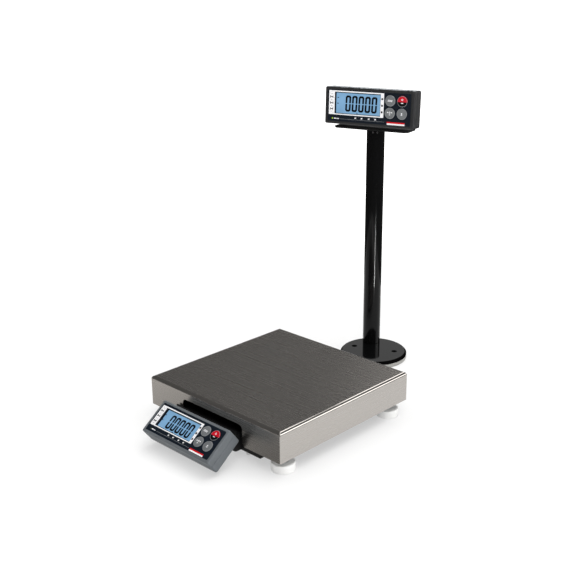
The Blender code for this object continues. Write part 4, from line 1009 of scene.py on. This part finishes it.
def build_stand():
    low, high, middle = measure("stand_pad")
    radius = (high.x - low.x) / 2
    pad_top = high.z
    here = at(middle.x, middle.y)
    profile = [(0, 0), (radius - 1.4 * MM, 0), (radius - 0.5 * MM, 0.4 * MM),
               (radius - 0.5 * MM, 1.5 * MM), (radius - 1.3 * MM, 1.7 * MM),
               (radius - 1.3 * MM, 2.0 * MM), (radius, 2.3 * MM), (radius, pad_top - 0.5 * MM),
               (radius - 0.4 * MM, pad_top), (0, pad_top)]
    turned("foam_ring", profile, 144, here, "light_grey", "base", ["stand_pad"])

    pole = centre_of("pole")
    upright = at(pole.x, pole.y)
    outer = pole_radius()
    bore = outer - TUBE_WALL
    spigot_radius = bore - SPIGOT_SLACK
    bottom = pad_top + 0.3 * MM
    top = PLATE_TOP
    rim = radius - PLATE_BEVEL
    disc = [(0, bottom), (radius - 0.6 * MM, bottom), (radius, bottom + 0.6 * MM),
            (radius, top - PLATE_BEVEL - 0.3 * MM), (radius - 0.2 * MM, top - PLATE_BEVEL + 0.1 * MM),
            (rim + 0.2 * MM, top - 0.25 * MM), (rim - 0.3 * MM, top), (0, top)]
    bm = bmesh.new()
    add_lathe(bm, disc, 144, matrix=here)
    for face in bm.faces:
        spot = face.calc_center_median() - Vector((middle.x, middle.y, 0))
        if spot.xy.length > rim - 0.2 * MM:
            face.material_index = 1
    base = model("stand_plate", bm, ["plate_gloss", "rim_black"])
    bm = bmesh.new()
    for turn in HOLE_TURNS:
        x = middle.x + HOLE_REACH * cos(radians(turn))
        y = middle.y + HOLE_REACH * sin(radians(turn))
        sink = [(0, bottom - 2 * MM), (2.8 * MM, bottom - 2 * MM), (2.8 * MM, top - 2.6 * MM),
                (5.4 * MM, top), (5.5 * MM, top + 2 * MM), (0, top + 2 * MM)]
        add_lathe(bm, sink, 40, 1, matrix=at(x, y))
    carved(base, bm)
    bm = bmesh.new()
    bm.from_mesh(base.data)
    spigot = [(6 * MM, top - 1 * MM), (spigot_radius, top - 1 * MM), (spigot_radius, top + 27 * MM),
              (spigot_radius - 1 * MM, top + 28 * MM), (6 * MM, top + 28 * MM)]
    add_lathe(bm, spigot, 64, matrix=upright)
    store(bm, base.data)
    fit(base, "base", ["stand_base"], 20)

    low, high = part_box("pole")
    split = low.z + FOOT_PART
    tube = [(bore, split), (outer, split), (outer, high.z - 0.4 * MM), (outer - 0.4 * MM, high.z),
            (bore + 0.3 * MM, high.z), (bore, high.z - 0.3 * MM)]
    turned("pole_tube", tube, 128, upright, "black_gloss", "base", ["pole"]).visible_glossy = False
    tube = [(bore, low.z), (outer - 0.3 * MM, low.z), (outer, low.z + 0.3 * MM), (outer, split),
            (bore, split)]
    turned("pole_foot", tube, 128, upright, "black_gloss", "base")

    low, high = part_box("swivel_plug")
    collar = high.z - 0.9 * MM
    plug = [(6 * MM, low.z), (spigot_radius - 1 * MM, low.z), (spigot_radius, low.z + 1 * MM),
            (spigot_radius, collar), (outer - 0.3 * MM, collar), (outer, collar + 0.2 * MM),
            (outer, high.z - 0.2 * MM), (outer - 0.3 * MM, high.z), (6 * MM, high.z)]
    turned("swivel_collar", plug, 96, upright, "black_gloss", "pole_swivel", ["swivel_plug"])


# ---------------------------------------------------------------- remaining CAD nodes


def dress_cad_nodes():
    """Procedural finishes on the CAD nodes that stay in sight."""
    finish = {entry["node"]: entry["material_slot"] for entry in frame["record"]["subparts"]}
    for name, node in NODES.items():
        node.data.materials.clear()
        node.data.materials.append(MAT[finish[name]])


# ---------------------------------------------------------------- studio


def build_floor():
    g = Graph("floor")
    cloud = g.spread(g.noise(1.5, detail=3.0), 0, 1)
    pale = (FLOOR_TINT, FLOOR_TINT, FLOOR_TINT, 1)
    g.set(colour=g.mix(cloud, shade(pale, 0.98), shade(pale, 1.02)), rough=0.9, gloss=0.0)
    spot = centre_of("platter")
    reach = g.node("ShaderNodeVectorMath", {0: g.place.outputs["Object"], 1: (spot.x, spot.y, 0.0)},
                   operation="DISTANCE").outputs["Value"]
    g.set(glow=(1, 1, 1, 1), glow_strength=g.spread(reach, FLOOR_GLOW, FAR_GLOW, *GLOW_REACH))
    MAT["floor"] = g.material
    bm = bmesh.new()
    outline = round_rect(120, 120, 1, 2)
    add_loft(bm, [flat(outline, -0.02), flat(outline, -0.00002)])
    model("studio_floor", bm, ["floor"])


def build_sky():
    """A dim room with bright panels to one side and overhead, behind a white backdrop."""
    world = bpy.data.worlds.new("studio")
    bpy.context.scene.world = world
    g = Graph("studio", world)
    place = g.place.outputs["Generated"]
    rise = g.node("ShaderNodeSeparateXYZ", {0: place}).outputs[2]
    lean = g.node("ShaderNodeVectorMath", {0: place, 1: LEAN_WAY}, operation="DOT_PRODUCT")
    lean = lean.outputs["Value"]

    def step(value, start, end):
        return g.node("ShaderNodeMapRange", {"Value": value, "From Min": start, "From Max": end},
                      interpolation_type="SMOOTHSTEP").outputs[0]

    def both(first, second, operation="MULTIPLY"):
        return g.node("ShaderNodeMath", {0: first, 1: second}, operation=operation).outputs[0]

    strip = both(both(step(lean, *STRIP_START), step(lean, *STRIP_END)), step(rise, *STRIP_RISE))
    wing = both(both(step(lean, *WING_LEAN), step(rise, *WING_RISE)), WING_SHARE)
    crown = both(step(lean, *CROWN_LEAN), step(rise, *CROWN_RISE))
    lit = both(both(strip, wing, "MAXIMUM"), crown, "MAXIMUM")
    glow = g.node("ShaderNodeMapRange", {"Value": lit, "To Min": SKY_LOW, "To Max": SKY_HIGH}).outputs[0]
    sky = g.node("ShaderNodeBackground", {"Color": (1, 0.995, 0.985, 1), "Strength": glow})
    backdrop = g.node("ShaderNodeBackground", {"Color": (1, 1, 1, 1), "Strength": 1.0})
    seen = g.node("ShaderNodeLightPath").outputs["Is Camera Ray"]
    mixed = g.node("ShaderNodeMixShader", {0: seen, 1: sky.outputs[0], 2: backdrop.outputs[0]})
    g.tree.links.new(mixed.outputs[0], g.tree.nodes["World Output"].inputs[0])


def soft_box(name, target, lit):
    """A rectangular lamp of the table, set off from a target; only the pieces named in lit see it."""
    lamp = LAMPS[name]
    offset = Vector(lamp["offset"])
    group = bpy.data.collections.new(f"{name}_lit")
    for piece in lit:
        group.objects.link(bpy.data.objects[piece])
    data = bpy.data.lights.new(name, "AREA")
    data.shape = "RECTANGLE"
    data.size, data.size_y = lamp["size"]
    data.energy = lamp["power"]
    data.color = lamp.get("colour", (1, 1, 1))
    light = linked(name, data)
    back = -Vector(lamp["facing"]) if "facing" in lamp else offset.normalized()
    second = back.cross(Vector(lamp["along"])).normalized()
    turn = Matrix((second.cross(back), second, back)).transposed().to_4x4()
    light.matrix_world = Matrix.Translation(target + offset) @ turn
    light.visible_camera = False
    light.light_linking.receiver_collection = group
    if "unshaded" in lamp:
        light.light_linking.blocker_collection = group


def painted_reflection_card(name, outline, holes, height, strength):
    """A dim glowing card flat on the floor, seen only in reflections: a painted reflection of shaded floor and
    dark surroundings.
    """
    bm = bmesh.new()
    add_plate(bm, outline, holes, height - 0.0002, height)
    g = Graph(name)
    across = g.node("ShaderNodeSeparateXYZ", {"Vector": g.place.outputs["Object"]}).outputs[0]
    level = g.spread(across, *strength, *PAINTED_REFLECTION_REACH)
    g.set(colour=(0, 0, 0, 1), rough=1.0, gloss=0.0, glow=(1.0, 0.985, 0.965, 1), glow_strength=level)
    MAT[name] = g.material
    card = model(name, bm, [name])
    card.visible_camera = False
    card.visible_diffuse = False
    card.visible_shadow = False
    card.visible_transmission = False


def build_lights():
    middle = centre_of("platter")
    middle.z = 0
    pole = centre_of("pole")
    soft_box("dome", middle, ["studio_floor"])
    soft_box("feet_fill", middle, [f"levelling_foot_{corner}" for corner in CORNERS])
    shells = ["customer_housing_front", "customer_housing_rear"]
    soft_box("rim", centre_of("customer_front_shell"), shells)
    soft_box("disc_fill", centre_of("stand_base"), ["stand_plate"])
    soft_box("streak", Vector((pole.x, pole.y, 0.004)), ["pole_tube", "pole_foot"])

    x = middle.x
    y = middle.y
    near = [(x - 0.60, y - 0.62), (x + 0.15, y - 0.62), (x + 0.15, y - 0.157), (x - 0.60, y - 0.157)]
    # painted reflection of the shaded floor in front of the platform, brighter to the left
    painted_reflection_card("near_card", near, [], 0.0006, (0.72, 0.22))
    # painted reflection of dark surroundings far from the platform
    painted_reflection_card("far_card", circle(x, y, 9.0), [circle(x, y, 0.75)], 0.0009, (0.05, 0.05))


def build_camera():
    data = bpy.data.cameras.new("camera")
    data.sensor_width = 36.0
    data.lens = CAMERA_LENS
    data.shift_x = CAMERA_SHIFT
    data.clip_start = 0.05
    data.clip_end = 300.0
    camera = linked("camera", data)
    middle = centre_of("platter")
    middle.z = 0
    camera.location = middle + Vector(CAMERA_PLACE)
    level = cos(CAMERA_PITCH)
    look = Vector((sin(CAMERA_YAW) * level, cos(CAMERA_YAW) * level, -sin(CAMERA_PITCH)))
    camera.rotation_euler = look.to_track_quat("-Z", "Y").to_euler()
    bpy.context.scene.camera = camera


bpy.context.scene.view_settings.view_transform = "Standard"
bpy.context.scene.view_settings.look = "None"
dress_cad_nodes()
build_platter()
build_feet()
build_fasteners()
build_board_parts()
build_displays()
build_stand()
build_floor()
build_sky()
build_lights()
build_camera()
